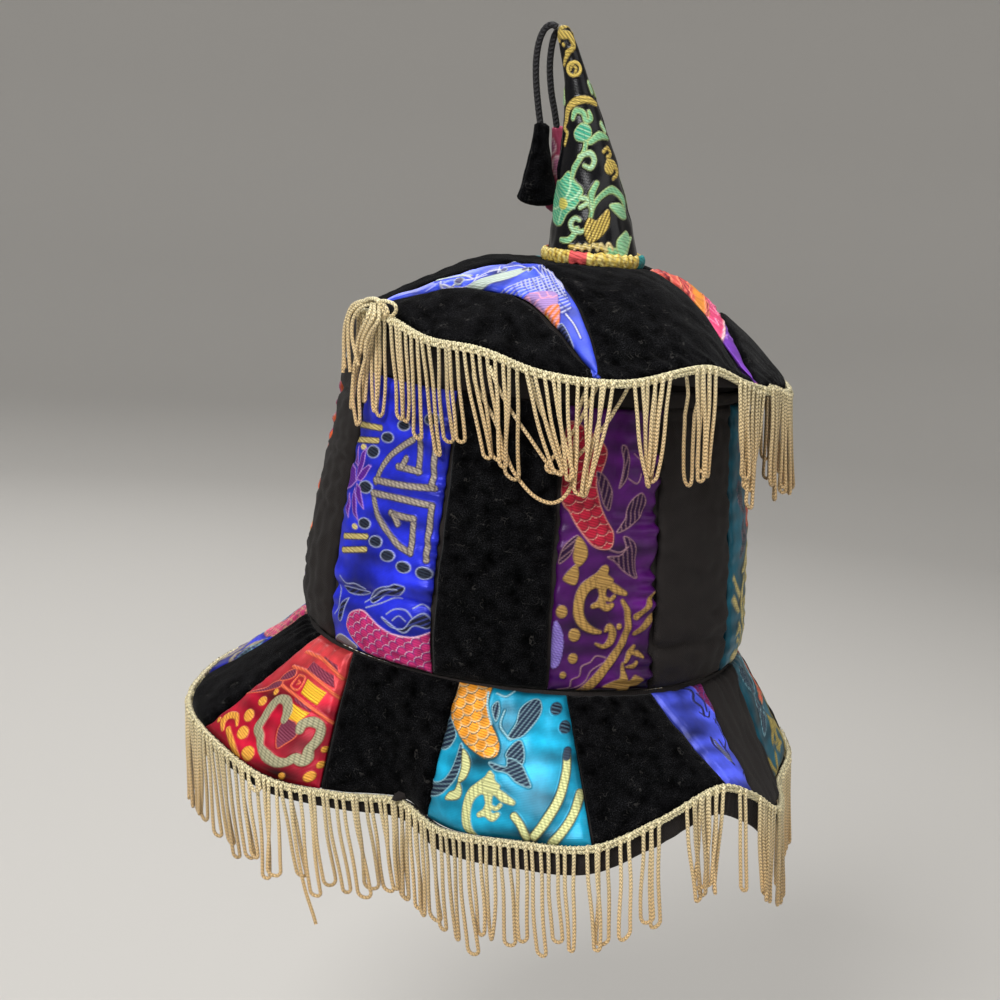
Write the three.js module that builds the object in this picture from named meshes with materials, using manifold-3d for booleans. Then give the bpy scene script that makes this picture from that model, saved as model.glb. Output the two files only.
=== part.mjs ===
// Patchwork jester hat in the round: a padded bucket crown, a puffed dome patched in threes, a ruffled brim,
// two looped fringes, and a soft spire with two stuffed drops on cords.
// Lengths are in millimetres and angles in degrees. The origin is the centre of the head opening, on the
// hat's axis, at the seam between side wall and brim. +Z is up and -Y is the front.
// An angle round the hat starts at the front and turns towards +X.
import * as THREE from "three";
import { mergeVertices } from "three/addons/utils/BufferGeometryUtils.js";
import Module from "manifold-3d";

const wasm = await Module();
wasm.setup();

// Cloth and clearances
const SKIN = 1.4; // thickness of a patch of face cloth
const LINING = 2.4; // thickness of the padded lining behind the patches
const LAYER_GAP = 0.8; // from the inner face of a patch to the lining
const SEAM_GAP = 0.35; // half of the gap between neighbouring patches
const LINING_FACE = SKIN + LAYER_GAP; // depth of the lining's outer face under the patches' outer face
const LINING_BACK = LINING_FACE + LINING;

// Side wall
const WALL_FOOT = 0.7; // where the strips start, just above the brim's seam
const WALL_TOP = 118; // height of the strips, where the plain band starts
const LINING_FOOT = -1;
const WALL_BELOW_DOME = 2.2; // from the top of the wall to the plane of the dome's rim
const DOME_SEAM = 131; // height of the seam between wall and dome, on the axis of the dome
const WALL_PUFF = 1.6;
const WALL_SHIFT = -1.3; // above its foot the wall stands a little to the left
const WALL_RADIUS = [
  { height: 0, radius: 98 },
  { height: 12, radius: 99.4 },
  { height: 30, radius: 98.6 },
  { height: 60, radius: 95.6 },
  { height: 95, radius: 91 },
  { height: 145, radius: 89.2 },
];
// A strip runs from its row's angles, at the wall's foot and top, to the next row's.
const SIDE_STRIPS = [
  { foot: -85, top: -88, cloth: "cotton" },
  { foot: -55, top: -58.5, cloth: "blue" },
  { foot: -21, top: -23, cloth: "velvet" },
  { foot: 7.5, top: 6, cloth: "purple" },
  { foot: 34.5, top: 34, cloth: "cotton" },
  { foot: 65, top: 65, cloth: "teal" },
  { foot: 95, top: 95, cloth: "velvet" },
  { foot: 125, top: 125, cloth: "red" },
  { foot: 155, top: 155, cloth: "cotton" },
  { foot: 185, top: 184, cloth: "turquoise" },
  { foot: 215, top: 213, cloth: "velvet" },
  { foot: 245, top: 242, cloth: "orange" },
];

// Dome
const DOME_X = 6.5; // the dome sits a little to the right of the wall's axis
const DOME_RADIUS = 99.5;
const DOME_TILT = 4.5; // its rim is lower on the right
const DOME_HOLE = 3; // the gores stop short of the middle, under the spire
const DOME_LEAN = 3.5; // how much fuller it is on the right than in the middle
const DOME_FLAT = { angle: 225, drop: 6 }; // it is flatter behind on the left
const DOME_PUFF = 3;
const SPIRE_CLEAR = 28; // the dome is smooth this far out from its middle, where the spire stands
const DOME_HEIGHT = [
  { out: 0, height: 38 },
  { out: 20, height: 38 },
  { out: 35, height: 36.5 },
  { out: 50, height: 32 },
  { out: 65, height: 24 },
  { out: 79, height: 14 },
  { out: 90, height: 5.5 },
  { out: 99.5, height: 0 },
];
// Rise and fall of the dome's rim, where the upper fringe is sewn on
const DOME_WAVE = [
  { angle: -140, lift: -3 },
  { angle: -98, lift: -1.5 },
  { angle: -50, lift: 7 },
  { angle: -34, lift: 3 },
  { angle: -20, lift: 4 },
  { angle: -5, lift: 0 },
  { angle: 14, lift: 2 },
  { angle: 34, lift: 12 },
  { angle: 48, lift: 7 },
  { angle: 62, lift: 3.5 },
  { angle: 90, lift: 1 },
  { angle: 125, lift: 4 },
  { angle: 165, lift: 0 },
  { angle: 195, lift: 2 },
];
const DOME_FOLDS = [
  { angle: -29, crescent: "crown_blue" },
  { angle: 91, crescent: "crown_orange" },
  { angle: 211, crescent: "crown_teal" },
];
const CRESCENT_TIP = 37; // half angle of a crescent at the rim
const CRESCENT_INNER = 31; // from the dome's middle to the crescent's inner seam
const CRESCENT_OUTER = 65; // and to its outer seam

// Brim
const BRIM_RADIUS = 98.5;
const BRIM_PUFF = 2;
const BRIM_GIVE = 0.5; // extra room between gores and lining, where the ruffle turns sharply
// The brim's edge, where the lower fringe is sewn on: one row for each turn of the ruffle. Its bow is how
// far the cloth stands out of the straight line from seam to edge.
const BRIM_EDGE = [
  { angle: -180, radius: 141, drop: 45, bow: 1 },
  { angle: -150, radius: 145, drop: 40, bow: 0 },
  { angle: -120, radius: 145, drop: 39, bow: -2 },
  { angle: -95, radius: 145, drop: 40, bow: -3 },
  { angle: -78, radius: 147, drop: 43, bow: -2 },
  { angle: -64, radius: 141, drop: 47, bow: 0 },
  { angle: -50, radius: 130, drop: 54, bow: 1 },
  { angle: -38, radius: 114, drop: 55, bow: 1 },
  { angle: -25, radius: 102, drop: 54, bow: 1 },
  { angle: -12, radius: 115, drop: 57, bow: 2 },
  { angle: 3, radius: 131, drop: 52, bow: 2 },
  { angle: 15, radius: 142, drop: 48, bow: 1 },
  { angle: 25, radius: 144, drop: 37, bow: 0 },
  { angle: 36, radius: 144.5, drop: 25, bow: -1 },
  { angle: 44, radius: 144, drop: 31, bow: -1.5 },
  { angle: 53, radius: 140, drop: 43, bow: -2 },
  { angle: 66, radius: 131, drop: 52, bow: -1.5 },
  { angle: 82, radius: 124, drop: 54, bow: -1 },
  { angle: 98, radius: 132, drop: 51, bow: 0 },
  { angle: 120, radius: 139, drop: 47, bow: 1 },
  { angle: 150, radius: 140, drop: 46, bow: 1 },
];
// A gore runs from its row's angles, at the seam above and at the edge below, to the next row's.
const BRIM_GORES = [
  { top: -85, edge: -93, cloth: "velvet" },
  { top: -63, edge: -69, cloth: "red" },
  { top: -46.5, edge: -41, cloth: "velvet" },
  { top: -13.9, edge: -17, cloth: "turquoise" },
  { top: 12.6, edge: 15, cloth: "velvet" },
  { top: 35.1, edge: 38.5, cloth: "violet" },
  { top: 54.3, edge: 45.5, cloth: "cotton" },
  { top: 76, edge: 80, cloth: "teal" },
  { top: 98, edge: 101, cloth: "velvet" },
  { top: 120, edge: 122, cloth: "orange" },
  { top: 142.5, edge: 143, cloth: "cotton" },
  { top: 164.6, edge: 163, cloth: "purple" },
  { top: 186.7, edge: 184, cloth: "velvet" },
  { top: 208.8, edge: 205, cloth: "red" },
  { top: 230.9, edge: 226, cloth: "velvet" },
  { top: 253, edge: 246, cloth: "blue" },
];
const LINING_QUARTERS = 4;
const LINING_INSET = 0.012; // half of the gap between two quarters, in gores
// Section of the facing below the brim's edge, from the edge inwards and down
const FACING = [
  { inwards: 2.3, down: 1.5 },
  { inwards: 0.3, down: 3.2 },
  { inwards: 0.1, down: 9 },
  { inwards: 2.3, down: 9.6 },
];

// Fringes: a flat heading with loops, which hang as locks of three loops each
const HEADING_WIDTH = 4.5;
const HEADING_THICK = 1.7;
const HEADING_OUT = 0.45; // from the cloth's edge to the heading
const LOCK_THICK = 1.8;
const LOCK_FILL = 0.86; // share of the pitch that a lock fills
const LOCK_CLEAR = 1.8; // from the wall to a lock
const LOCK_LEAN = 4; // the loops drift towards +X as they hang
const UPPER_LOCKS = 30;
const UPPER_LENGTH = 43;
const LOWER_LOCKS = 42;
const LOWER_LENGTH = 41;

// Spire
const SPIRE_Y = 2;
const SPIRE = [
  { x: 13.3, z: 174, radius: 20 },
  { x: 11.6, z: 185.5, radius: 17.6 },
  { x: 9.3, z: 199, radius: 15 },
  { x: 6.7, z: 213.5, radius: 12.4 },
  { x: 4.9, z: 222, radius: 10.4 },
  { x: 3.1, z: 230.5, radius: 8.5 },
  { x: 0.3, z: 240.5, radius: 6.4 },
  { x: -2.2, z: 249, radius: 4.9 },
  { x: -4.7, z: 256, radius: 4.2 },
  { x: -7.2, z: 262.5, radius: 3.5 },
  { x: -9.2, z: 267.3, radius: 2.6 },
  { x: -10.1, z: 269.3, radius: 1.2 },
];
const SPIRE_FOOT = { x: 14, radius: 20.5, lift: 0.8 };
const PIPING = { radius: 22.6, thick: 3.4, lift: 0.7 };

// Cords and drops
const CORD_RADIUS = 1.5;
const CORDS = {
  cord_left: [
    [-12.3, 0.2, 268.5],
    [-14.9, 0.8, 269.2],
    [-17.7, 1.9, 266.9],
    [-19.5, 3.2, 261.3],
    [-19.9, 4.6, 253.5],
    [-19, 6, 244.5],
    [-17, 7.2, 234],
    [-15.2, 8, 226.2],
  ],
  cord_right: [
    [-11.5, 4.8, 267.6],
    [-13.1, 5.8, 265],
    [-13.9, 7.2, 259],
    [-13.7, 8.8, 251],
    [-12, 11, 241],
    [-9.6, 13.2, 232.5],
    [-7.9, 14.6, 225.6],
  ],
};
const DROPS = [
  {
    name: "bell_velvet", cloth: "velvet", top: [-15, 8.1, 225.5], foot: [-13.2, 10, 191], turn: 37,
  },
  {
    name: "bell_brocade", cloth: "bell_brocade", top: [-7.3, 15, 225], foot: [1.5, 27.5, 187], turn: 6,
  },
];
const DROP_TOP = { width: 6, depth: 5 };
const DROP_FOOT = { width: 22, depth: 11 };

const CLOTHS = {
  velvet: { color: 0x08070a, roughness: 0.95 },
  cotton: { color: 0x1a1616, roughness: 0.9 },
  lining: { color: 0x141212, roughness: 0.9 },
  blue: { color: 0x2a2cc8, roughness: 0.45 },
  purple: { color: 0x4a1268, roughness: 0.45 },
  teal: { color: 0x0f6f78, roughness: 0.45 },
  red: { color: 0xb01230, roughness: 0.45 },
  turquoise: { color: 0x12a0c0, roughness: 0.45 },
  violet: { color: 0x4a48d8, roughness: 0.45 },
  orange: { color: 0xd8581e, roughness: 0.45 },
  crown_blue: { color: 0x3a40c8, roughness: 0.45 },
  crown_orange: { color: 0xe0553a, roughness: 0.45 },
  crown_teal: { color: 0x16858c, roughness: 0.45 },
  spire_satin: { color: 0x0a0a0e, roughness: 0.3 },
  bell_brocade: { color: 0xb02a4a, roughness: 0.5 },
  fringe: { color: 0xd2bc86, roughness: 0.6 },
  piping: { color: 0xc8a83c, roughness: 0.5 },
  cord: { color: 0x0c0c0c, roughness: 0.8 },
};

const rad = THREE.MathUtils.degToRad;
const mix = THREE.MathUtils.lerp;
const V = (x, y, z) => new THREE.Vector3(x, y, z);
const UP = V(0, 0, 1);

// A point at an angle round an axis that stands at (x, 0).
function polar(angle, radius, z, x = 0) {
  return V(x + radius * Math.sin(rad(angle)), -radius * Math.cos(rad(angle)), z);
}

// The value of one column of a table at a place on another, joined smoothly from row to row.
// With a period the table closes on itself.
function column(rows, at, value, period = 0) {
  const count = rows.length;
  const row = (k) => {
    const inside = period ? ((k % count) + count) % count : Math.min(Math.max(k, 0), count - 1);
    return { at: rows[inside][at] + period * Math.floor(period ? k / count : 0), value: rows[inside][value] };
  };
  return (place) => {
    const start = rows[0][at];
    const end = rows[count - 1][at];
    const x = period ? start + ((((place - start) % period) + period) % period) : Math.min(Math.max(place, start), end);
    let k = 0;
    while (k < count - (period ? 1 : 2) && rows[k + 1][at] <= x) k++;
    const [a, b, c, d] = [row(k - 1), row(k), row(k + 1), row(k + 2)];
    const span = c.at - b.at;
    const slopeB = ((c.value - a.value) / (c.at - a.at || span)) * span;
    const slopeC = ((d.value - b.value) / (d.at - b.at || span)) * span;
    const t = (x - b.at) / span;
    const bend = (2 * t - 3) * t * t;
    return (1 + bend) * b.value - bend * c.value + t * (t - 1) * ((t - 1) * slopeB + t * slopeC);
  };
}

// A closed mesh from points and the corners of its triangles, with its faces turned outwards.
function closedMesh(points, corners) {
  const place = new THREE.BufferGeometry().setFromPoints(corners.map((corner) => points[corner]));
  const merged = mergeVertices(place, 1e-3);
  const index = merged.index.array;
  const position = merged.getAttribute("position");
  const [a, b, c] = [V(), V(), V()];
  const kept = [];
  let volume = 0;
  for (let k = 0; k < index.length; k += 3) {
    const [i, j, l] = [index[k], index[k + 1], index[k + 2]];
    if (i === j || j === l || l === i) continue;
    kept.push(i, j, l);
    a.fromBufferAttribute(position, i);
    b.fromBufferAttribute(position, j);
    c.fromBufferAttribute(position, l);
    volume += a.dot(b.cross(c));
  }
  merged.setIndex(volume < 0 ? kept.reverse() : kept);
  merged.computeVertexNormals();
  return merged;
}

// A closed wall over a grid of columns and rows: face(u, v, depth) gives a point at a depth under the face.
function patch(columns, rows, thick, face) {
  const points = [];
  for (const depth of [0, thick])
    for (let j = 0; j <= rows; j++)
      for (let i = 0; i <= columns; i++) points.push(face(i / columns, j / rows, depth));
  const back = (rows + 1) * (columns + 1);
  const at = (i, j) => j * (columns + 1) + i;
  const corners = [];
  const quad = (p, q, r, s) => corners.push(p, q, r, p, r, s);
  for (let j = 0; j < rows; j++)
    for (let i = 0; i < columns; i++) {
      const [p, q, r, s] = [at(i, j), at(i + 1, j), at(i + 1, j + 1), at(i, j + 1)];
      quad(p, q, r, s);
      quad(s + back, r + back, q + back, p + back);
    }
  for (let i = 0; i < columns; i++) {
    quad(at(i, 0) + back, at(i + 1, 0) + back, at(i + 1, 0), at(i, 0));
    quad(at(i, rows), at(i + 1, rows), at(i + 1, rows) + back, at(i, rows) + back);
  }
  for (let j = 0; j < rows; j++) {
    quad(at(0, j), at(0, j + 1), at(0, j + 1) + back, at(0, j) + back);
    quad(at(columns, j) + back, at(columns, j + 1) + back, at(columns, j + 1), at(columns, j));
  }
  return closedMesh(points, corners);
}

// A closed ring: a closed outline at each of the angles, joined round the hat.
function ring(angles, outline) {
  const loops = angles.map(outline);
  const width = loops[0].length;
  const corners = [];
  for (let k = 0; k < loops.length; k++)
    for (let m = 0; m < width; m++) {
      const [here, next] = [k * width, ((k + 1) % loops.length) * width];
      const n = (m + 1) % width;
      corners.push(here + m, next + m, next + n, here + m, next + n, here + n);
    }
  return closedMesh(loops.flat(), corners);
}

// A closed body through a row of outlines, with a flat cap at each end.
function loft(outlines) {
  const points = outlines.flat();
  const width = outlines[0].length;
  const last = (outlines.length - 1) * width;
  const corners = [];
  for (let k = 0; k < outlines.length - 1; k++)
    for (let m = 0; m < width; m++) {
      const [here, next] = [k * width, (k + 1) * width];
      const n = (m + 1) % width;
      corners.push(here + m, here + n, next + n, here + m, next + n, next + m);
    }
  for (let m = 1; m < width - 1; m++) {
    corners.push(0, m + 1, m);
    corners.push(last, last + m, last + m + 1);
  }
  return closedMesh(points, corners);
}

// The unit normal of a surface given as point(u, v), turned away from the hat's inside.
function normalOf(point, u, v, away, step = 0.01) {
  const along = point(u + step, v).sub(point(u - step, v));
  const across = point(u, v + step).sub(point(u, v - step));
  const normal = along.cross(across).normalize();
  return normal.dot(away) < 0 ? normal.negate() : normal;
}

// Fullness of a padded patch: none at its seams, all of it in the middle.
function fullness(u, v) {
  return Math.sqrt(Math.max(16 * u * (1 - u) * v * (1 - v), 0));
}

function evenAngles(count) {
  return Array.from({ length: count }, (_, k) => (360 * k) / count - 180);
}

// Side wall
const wallRadius = column(WALL_RADIUS, "height", "radius");

// A point of the wall at an angle and height, at a distance out from the middle of the wall there.
function wallPoint(angle, radius, height) {
  const rise = Math.min(Math.max(height / 30, 0), 1);
  return polar(angle, radius, height, WALL_SHIFT * rise);
}

function sideStrip(from, to) {
  const inset = (180 / Math.PI) * (SEAM_GAP / BRIM_RADIUS);
  return patch(4, 4, SKIN, (u, v, depth) => {
    const height = mix(WALL_FOOT, WALL_TOP - SEAM_GAP, v);
    const radius = wallRadius(height) + WALL_PUFF * fullness(u, v) - depth;
    const ends = [mix(from.foot, from.top, v) + inset, mix(to.foot, to.top, v) - inset];
    return wallPoint(mix(...ends, u), radius, height);
  });
}

// Height of the plane of the dome's rim over a point.
function rimPlane(x) {
  return DOME_SEAM - Math.tan(rad(DOME_TILT)) * (x - DOME_X);
}

function wallRing(levels, face, back, foot, below) {
  return ring(evenAngles(40), (angle) => {
    const at = (height, depth) => wallPoint(angle, wallRadius(height) - depth, height);
    const top = rimPlane(polar(angle, 90, 0).x) + Math.min(domeWave(angle), 0) - below;
    const heights = levels.map((share) => mix(foot, top, share));
    return [...heights.map((h) => at(h, face)), ...heights.reverse().map((h) => at(h, back))];
  });
}

// Dome
const domeHeight = column(DOME_HEIGHT, "out", "height");
const domeWave = column(DOME_WAVE, "angle", "lift", 360);

// The dome's outer face at an angle round its own middle and a distance out from it.
function domePoint(angle, out) {
  const share = out / DOME_RADIUS;
  const flat = DOME_FLAT.drop * Math.max(Math.cos(rad(angle - DOME_FLAT.angle)), 0);
  const beyondSpire = Math.max((out - SPIRE_CLEAR) / (DOME_RADIUS - SPIRE_CLEAR), 0);
  const full = DOME_LEAN * Math.sin(rad(angle)) * Math.sin(Math.PI * Math.min(share, 1));
  const point = polar(angle, out, 0, DOME_X);
  point.z = rimPlane(point.x) + domeHeight(out) + full + domeWave(angle) * share ** 3;
  point.z -= flat * Math.sin(Math.PI * Math.min(beyondSpire, 1)) ** 2;
  return point;
}

function domeNormal(angle, out) {
  const reach = Math.min(Math.max(out, 2), DOME_RADIUS - 0.5);
  return normalOf(domePoint, angle, reach, UP, 0.2);
}

function domeFace(angle, out, rise) {
  return domePoint(angle, out).addScaledVector(domeNormal(angle, out), rise);
}

// Half angle that the crescents take at a distance out, and the distances out of their two seams.
function crescentHalf(out) {
  const share = Math.min(Math.max((out - CRESCENT_INNER) / (DOME_RADIUS - CRESCENT_INNER), 0), 1);
  return CRESCENT_TIP * Math.sin((Math.PI / 2) * Math.sqrt(share)) ** 1.5;
}

function crescentSeams(turn) {
  const share = Math.min(Math.abs(turn) / CRESCENT_TIP, 1);
  const inner = ((2 / Math.PI) * Math.asin(share ** (2 / 3))) ** 2;
  return {
    inner: mix(CRESCENT_INNER, DOME_RADIUS, inner),
    outer: mix(CRESCENT_OUTER, DOME_RADIUS, share ** 2.5),
  };
}

function crownGore(middle) {
  return patch(7, 8, SKIN, (u, v, depth) => {
    const out = mix(DOME_HOLE, DOME_RADIUS - 0.3, v);
    const half = 60 - crescentHalf(out) - (180 / Math.PI) * (SEAM_GAP / out);
    const beyondSpire = Math.max((out - SPIRE_CLEAR) / (DOME_RADIUS - SPIRE_CLEAR), 0);
    return domeFace(middle + mix(-half, half, u), out, DOME_PUFF * fullness(u, beyondSpire) - depth);
  });
}

function crownCrescent(middle) {
  return patch(10, 3, SKIN, (u, v, depth) => {
    const turn = (CRESCENT_TIP - 0.5) * Math.sin((Math.PI / 2) * mix(-1, 1, u));
    const seams = crescentSeams(turn);
    const out = mix(seams.inner + SEAM_GAP, seams.outer - SEAM_GAP, v);
    return domeFace(middle + turn, out, DOME_PUFF * 0.6 * fullness(u, v) - depth);
  });
}

function crownPuff(middle) {
  return patch(10, 2, SKIN, (u, v, depth) => {
    const turn = (CRESCENT_TIP - 1.4) * mix(-1, 1, u);
    const out = mix(crescentSeams(turn).outer + SEAM_GAP, DOME_RADIUS - 0.3, v);
    return domeFace(middle + turn, out, DOME_PUFF * fullness(u, v) - depth);
  });
}

// The dome's lining: a padded bowl whose rim fills the overhang above the wall.
function crownLining() {
  const wallTop = wallRadius(DOME_SEAM) - LINING;
  return ring(evenAngles(40), (angle) => {
    const acrossWall = Math.sqrt(wallTop ** 2 - (DOME_X * Math.cos(rad(angle))) ** 2) - DOME_X * Math.sin(rad(angle));
    const foot = polar(angle, acrossWall, 0, DOME_X);
    foot.z = rimPlane(foot.x) + 0.2;
    const overhang = domePoint(angle, DOME_RADIUS - 3);
    overhang.z -= 2.8;
    const outer = [0, 22, 42, 58, 72, 84, 96.5].map((out) => domeFace(angle, out, -LINING_FACE));
    const inner = [0.975, 0.86, 0.7, 0.5, 0.26, 0].map((share) => domeFace(angle, acrossWall * share, -LINING_BACK));
    outer[0].copy(domePoint(0, 0)).z -= LINING_FACE;
    inner[5].copy(domePoint(0, 0)).z -= LINING_BACK;
    return [...outer, overhang, foot, ...inner];
  });
}

// Brim
const edgeRadius = column(BRIM_EDGE, "angle", "radius", 360);
const edgeDrop = column(BRIM_EDGE, "angle", "drop", 360);
const edgeBow = column(BRIM_EDGE, "angle", "bow", 360);

// The row of a gore, or the first one again after the last, a full turn on.
function goreRow(index) {
  const row = BRIM_GORES[index % BRIM_GORES.length];
  const turn = 360 * Math.floor(index / BRIM_GORES.length);
  return { top: row.top + turn, edge: row.edge + turn, cloth: row.cloth };
}

// The point of the brim's edge at an angle, and the level direction straight out from it.
function edgePoint(angle) {
  return polar(angle, edgeRadius(angle), -edgeDrop(angle));
}

function edgeOut(angle) {
  const along = edgePoint(angle + 0.5).sub(edgePoint(angle - 0.5)).setZ(0);
  return along.cross(UP).normalize();
}

// The brim's outer face: place counts gores and parts of one round the hat, fall goes from seam to edge.
function brimPoint(place, fall) {
  const index = Math.floor(place + 1e-9);
  const [a, b] = [goreRow(index), goreRow(index + 1)];
  const top = polar(mix(a.top, b.top, place - index), BRIM_RADIUS, 0);
  const angle = mix(a.edge, b.edge, place - index);
  const edge = edgePoint(angle);
  const bow = edge.clone().sub(top).normalize().cross(edgeOut(mix(a.top, b.top, place - index)).cross(UP));
  if (bow.z < 0) bow.negate();
  return top.lerp(edge, fall).addScaledVector(bow, edgeBow(angle) * 4 * fall * (1 - fall));
}

function brimFace(place, fall, rise) {
  const inside = Math.min(Math.max(fall, 0.02), 0.98);
  const away = edgeOut(goreRow(Math.floor(place)).edge).add(UP);
  const normal = normalOf((p, f) => brimPoint(p + BRIM_GORES.length, f), place, inside, away);
  return brimPoint(place, fall).addScaledVector(normal, rise);
}

function brimGore(index) {
  const inset = SEAM_GAP / 45;
  return patch(4, 4, SKIN, (u, v, depth) => {
    const place = index + mix(inset, 1 - inset, u);
    return brimFace(place, mix(0.012, 0.985, v), BRIM_PUFF * fullness(u, v) - depth);
  });
}

// A quarter of the brim's lining, which backs the gores.
function brimLining(quarter) {
  const gores = BRIM_GORES.length / LINING_QUARTERS;
  return patch(gores * 4, 4, LINING, (u, v, depth) => {
    const place = quarter * gores + mix(LINING_INSET, gores - LINING_INSET, u);
    return brimFace(place, mix(0.02, 0.96, v), -LINING_FACE - BRIM_GIVE - depth);
  });
}

// The facing: a plain band that stands down below the brim's edge, inside the fringe.
function brimFacing() {
  const places = Array.from({ length: BRIM_GORES.length * 4 }, (_, k) => k / 4);
  return ring(places, (place) => {
    const index = Math.floor(place);
    const angle = mix(goreRow(index).edge, goreRow(index + 1).edge, place - index);
    const out = edgeOut(angle);
    return FACING.map(({ inwards, down }) => edgePoint(angle).addScaledVector(out, -inwards).addScaledVector(UP, -down));
  });
}

// Fringes
function solidOf(geometry) {
  const position = geometry.getAttribute("position").array;
  const mesh = new wasm.Mesh({
    numProp: 3,
    vertProperties: new Float32Array(position),
    triVerts: new Uint32Array(geometry.index.array),
  });
  return new wasm.Manifold(mesh);
}

function joined(geometries) {
  const mesh = wasm.Manifold.union(geometries.map(solidOf)).getMesh();
  const geometry = new THREE.BufferGeometry();
  geometry.setAttribute("position", new THREE.BufferAttribute(mesh.vertProperties, 3));
  geometry.setIndex(new THREE.BufferAttribute(mesh.triVerts, 1));
  geometry.computeVertexNormals();
  return geometry;
}

// The heading of a fringe, sewn over an edge: a flat band that stands just outside it.
function heading(count, edge, outAt) {
  return ring(evenAngles(count), (angle) => {
    const out = outAt(angle);
    const corner = (off, down) => edge(angle).addScaledVector(out, off).addScaledVector(UP, -down);
    const [near, far] = [HEADING_OUT, HEADING_OUT + HEADING_THICK];
    return [corner(near, 0), corner(far, 0), corner(far, HEADING_WIDTH), corner(near, HEADING_WIDTH)];
  });
}

// One lock of loops: it starts inside the heading and hangs down, clear of the wall behind it.
function lock(angle, pitch, length, edge, outAt, clearOf) {
  const falls = [0.4, 6, length * 0.5, length];
  const half = (pitch * LOCK_FILL) / 2;
  const outlines = falls.map((fall, k) => {
    const lean = THREE.MathUtils.radToDeg((fall * Math.tan(rad(LOCK_LEAN))) / 120);
    const narrow = k === falls.length - 1 ? 0.75 : 1;
    const down = HEADING_WIDTH * 0.5 + fall - falls[0];
    const side = (turn, off) => {
      const at = angle + turn * half * narrow;
      const point = edge(at).addScaledVector(UP, -down).addScaledVector(outAt(at), HEADING_OUT + 0.3 + off);
      point.applyAxisAngle(UP, rad(lean));
      return clearOf(point, off);
    };
    const thick = k < 2 ? HEADING_THICK - 0.6 : LOCK_THICK;
    return [side(-1, 0), side(1, 0), side(1, thick), side(-1, thick)];
  });
  return loft(outlines);
}

// Moves a point of a lock outwards where it would come too near the side wall.
function clearOfWall(point, off) {
  const least = wallRadius(point.z) + LOCK_CLEAR + off;
  const level = V(point.x - WALL_SHIFT, point.y, 0);
  const short = least - level.length();
  return short > 0 ? point.addScaledVector(level.normalize(), short) : point;
}

function fringe(locks, length, edge, outAt, clearOf) {
  const pieces = evenAngles(locks).map((angle) => lock(angle, 360 / locks, length, edge, outAt, clearOf));
  return joined([heading(Math.round(locks * 1.6), edge, outAt), ...pieces]);
}

// Spire
function spireOutline(sides, row, before, after) {
  const slope = Math.atan2(before.x - after.x, after.z - before.z);
  return Array.from({ length: sides }, (_, k) => {
    const turn = (2 * Math.PI * k) / sides;
    const [level, deep] = [row.radius * Math.cos(turn), row.radius * Math.sin(turn)];
    return V(row.x + level * Math.cos(slope), SPIRE_Y + deep, row.z + level * Math.sin(slope));
  });
}

// The height of the dome's face over a point of its plan.
function domeAt(x, y) {
  const angle = THREE.MathUtils.radToDeg(Math.atan2(x - DOME_X, -y));
  return domePoint(angle, Math.hypot(x - DOME_X, y)).z;
}

function circleOnDome(sides, radius, lift) {
  return Array.from({ length: sides }, (_, k) => {
    const turn = (2 * Math.PI * k) / sides;
    const [x, y] = [SPIRE_FOOT.x + radius * Math.cos(turn), SPIRE_Y + radius * Math.sin(turn)];
    return V(x, y, domeAt(x, y) + lift);
  });
}

function spire() {
  const sides = 14;
  const outlines = SPIRE.map((row, k) =>
    spireOutline(sides, row, SPIRE[Math.max(k - 1, 0)], SPIRE[Math.min(k + 1, SPIRE.length - 1)]),
  );
  return loft([circleOnDome(sides, SPIRE_FOOT.radius, SPIRE_FOOT.lift), ...outlines]);
}

// The piping round the spire's foot: a thin round ring that lies on the dome.
function piping() {
  const sides = 20;
  const half = PIPING.thick / 2;
  const middle = circleOnDome(sides, PIPING.radius, PIPING.lift + half);
  return ring([...middle.keys()], (k) => {
    const turn = (2 * Math.PI * k) / sides;
    const out = V(Math.cos(turn), Math.sin(turn), 0);
    return Array.from({ length: 6 }, (_, m) => {
      const roll = (Math.PI * m) / 3;
      const point = middle[k].clone().addScaledVector(out, half * Math.cos(roll));
      return point.addScaledVector(UP, half * Math.sin(roll));
    });
  });
}

// Cords and drops
function cord(points) {
  const path = new THREE.CatmullRomCurve3(points.map((point) => V(...point)));
  const section = new THREE.Shape().absarc(0, 0, CORD_RADIUS, 0, 2 * Math.PI);
  const tube = new THREE.ExtrudeGeometry(section, { extrudePath: path, steps: 9, curveSegments: 4 });
  tube.deleteAttribute("normal");
  tube.deleteAttribute("uv");
  return mergeVertices(tube, 1e-3);
}

// A stuffed drop: narrow where its cord enters, widening to a rounded foot.
function drop({ top, foot, turn }) {
  const [start, end] = [V(...top), V(...foot)];
  const across = V(Math.cos(rad(turn)), Math.sin(rad(turn)), 0);
  const deep = V(-across.y, across.x, 0);
  const rows = [
    { fall: 0, share: 0 },
    { fall: 0.3, share: 0.22 },
    { fall: 0.7, share: 0.68 },
    { fall: 0.93, share: 1 },
    { fall: 1, share: 0.8 },
  ];
  return loft(
    rows.map(({ fall, share }) => {
      const middle = start.clone().lerp(end, fall);
      const width = mix(DROP_TOP.width, DROP_FOOT.width, share) / 2;
      const depth = mix(DROP_TOP.depth, DROP_FOOT.depth, share) / 2;
      return Array.from({ length: 10 }, (_, k) => {
        const roll = (2 * Math.PI * k) / 10;
        const point = middle.clone().addScaledVector(across, width * Math.cos(roll));
        return point.addScaledVector(deep, depth * Math.sin(roll));
      });
    }),
  );
}

const hat = new THREE.Group();

function add(name, cloth, geometry) {
  const { color, roughness } = CLOTHS[cloth];
  const mesh = new THREE.Mesh(geometry, new THREE.MeshStandardMaterial({ color, roughness, metalness: 0 }));
  mesh.name = name;
  hat.add(mesh);
}

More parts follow.
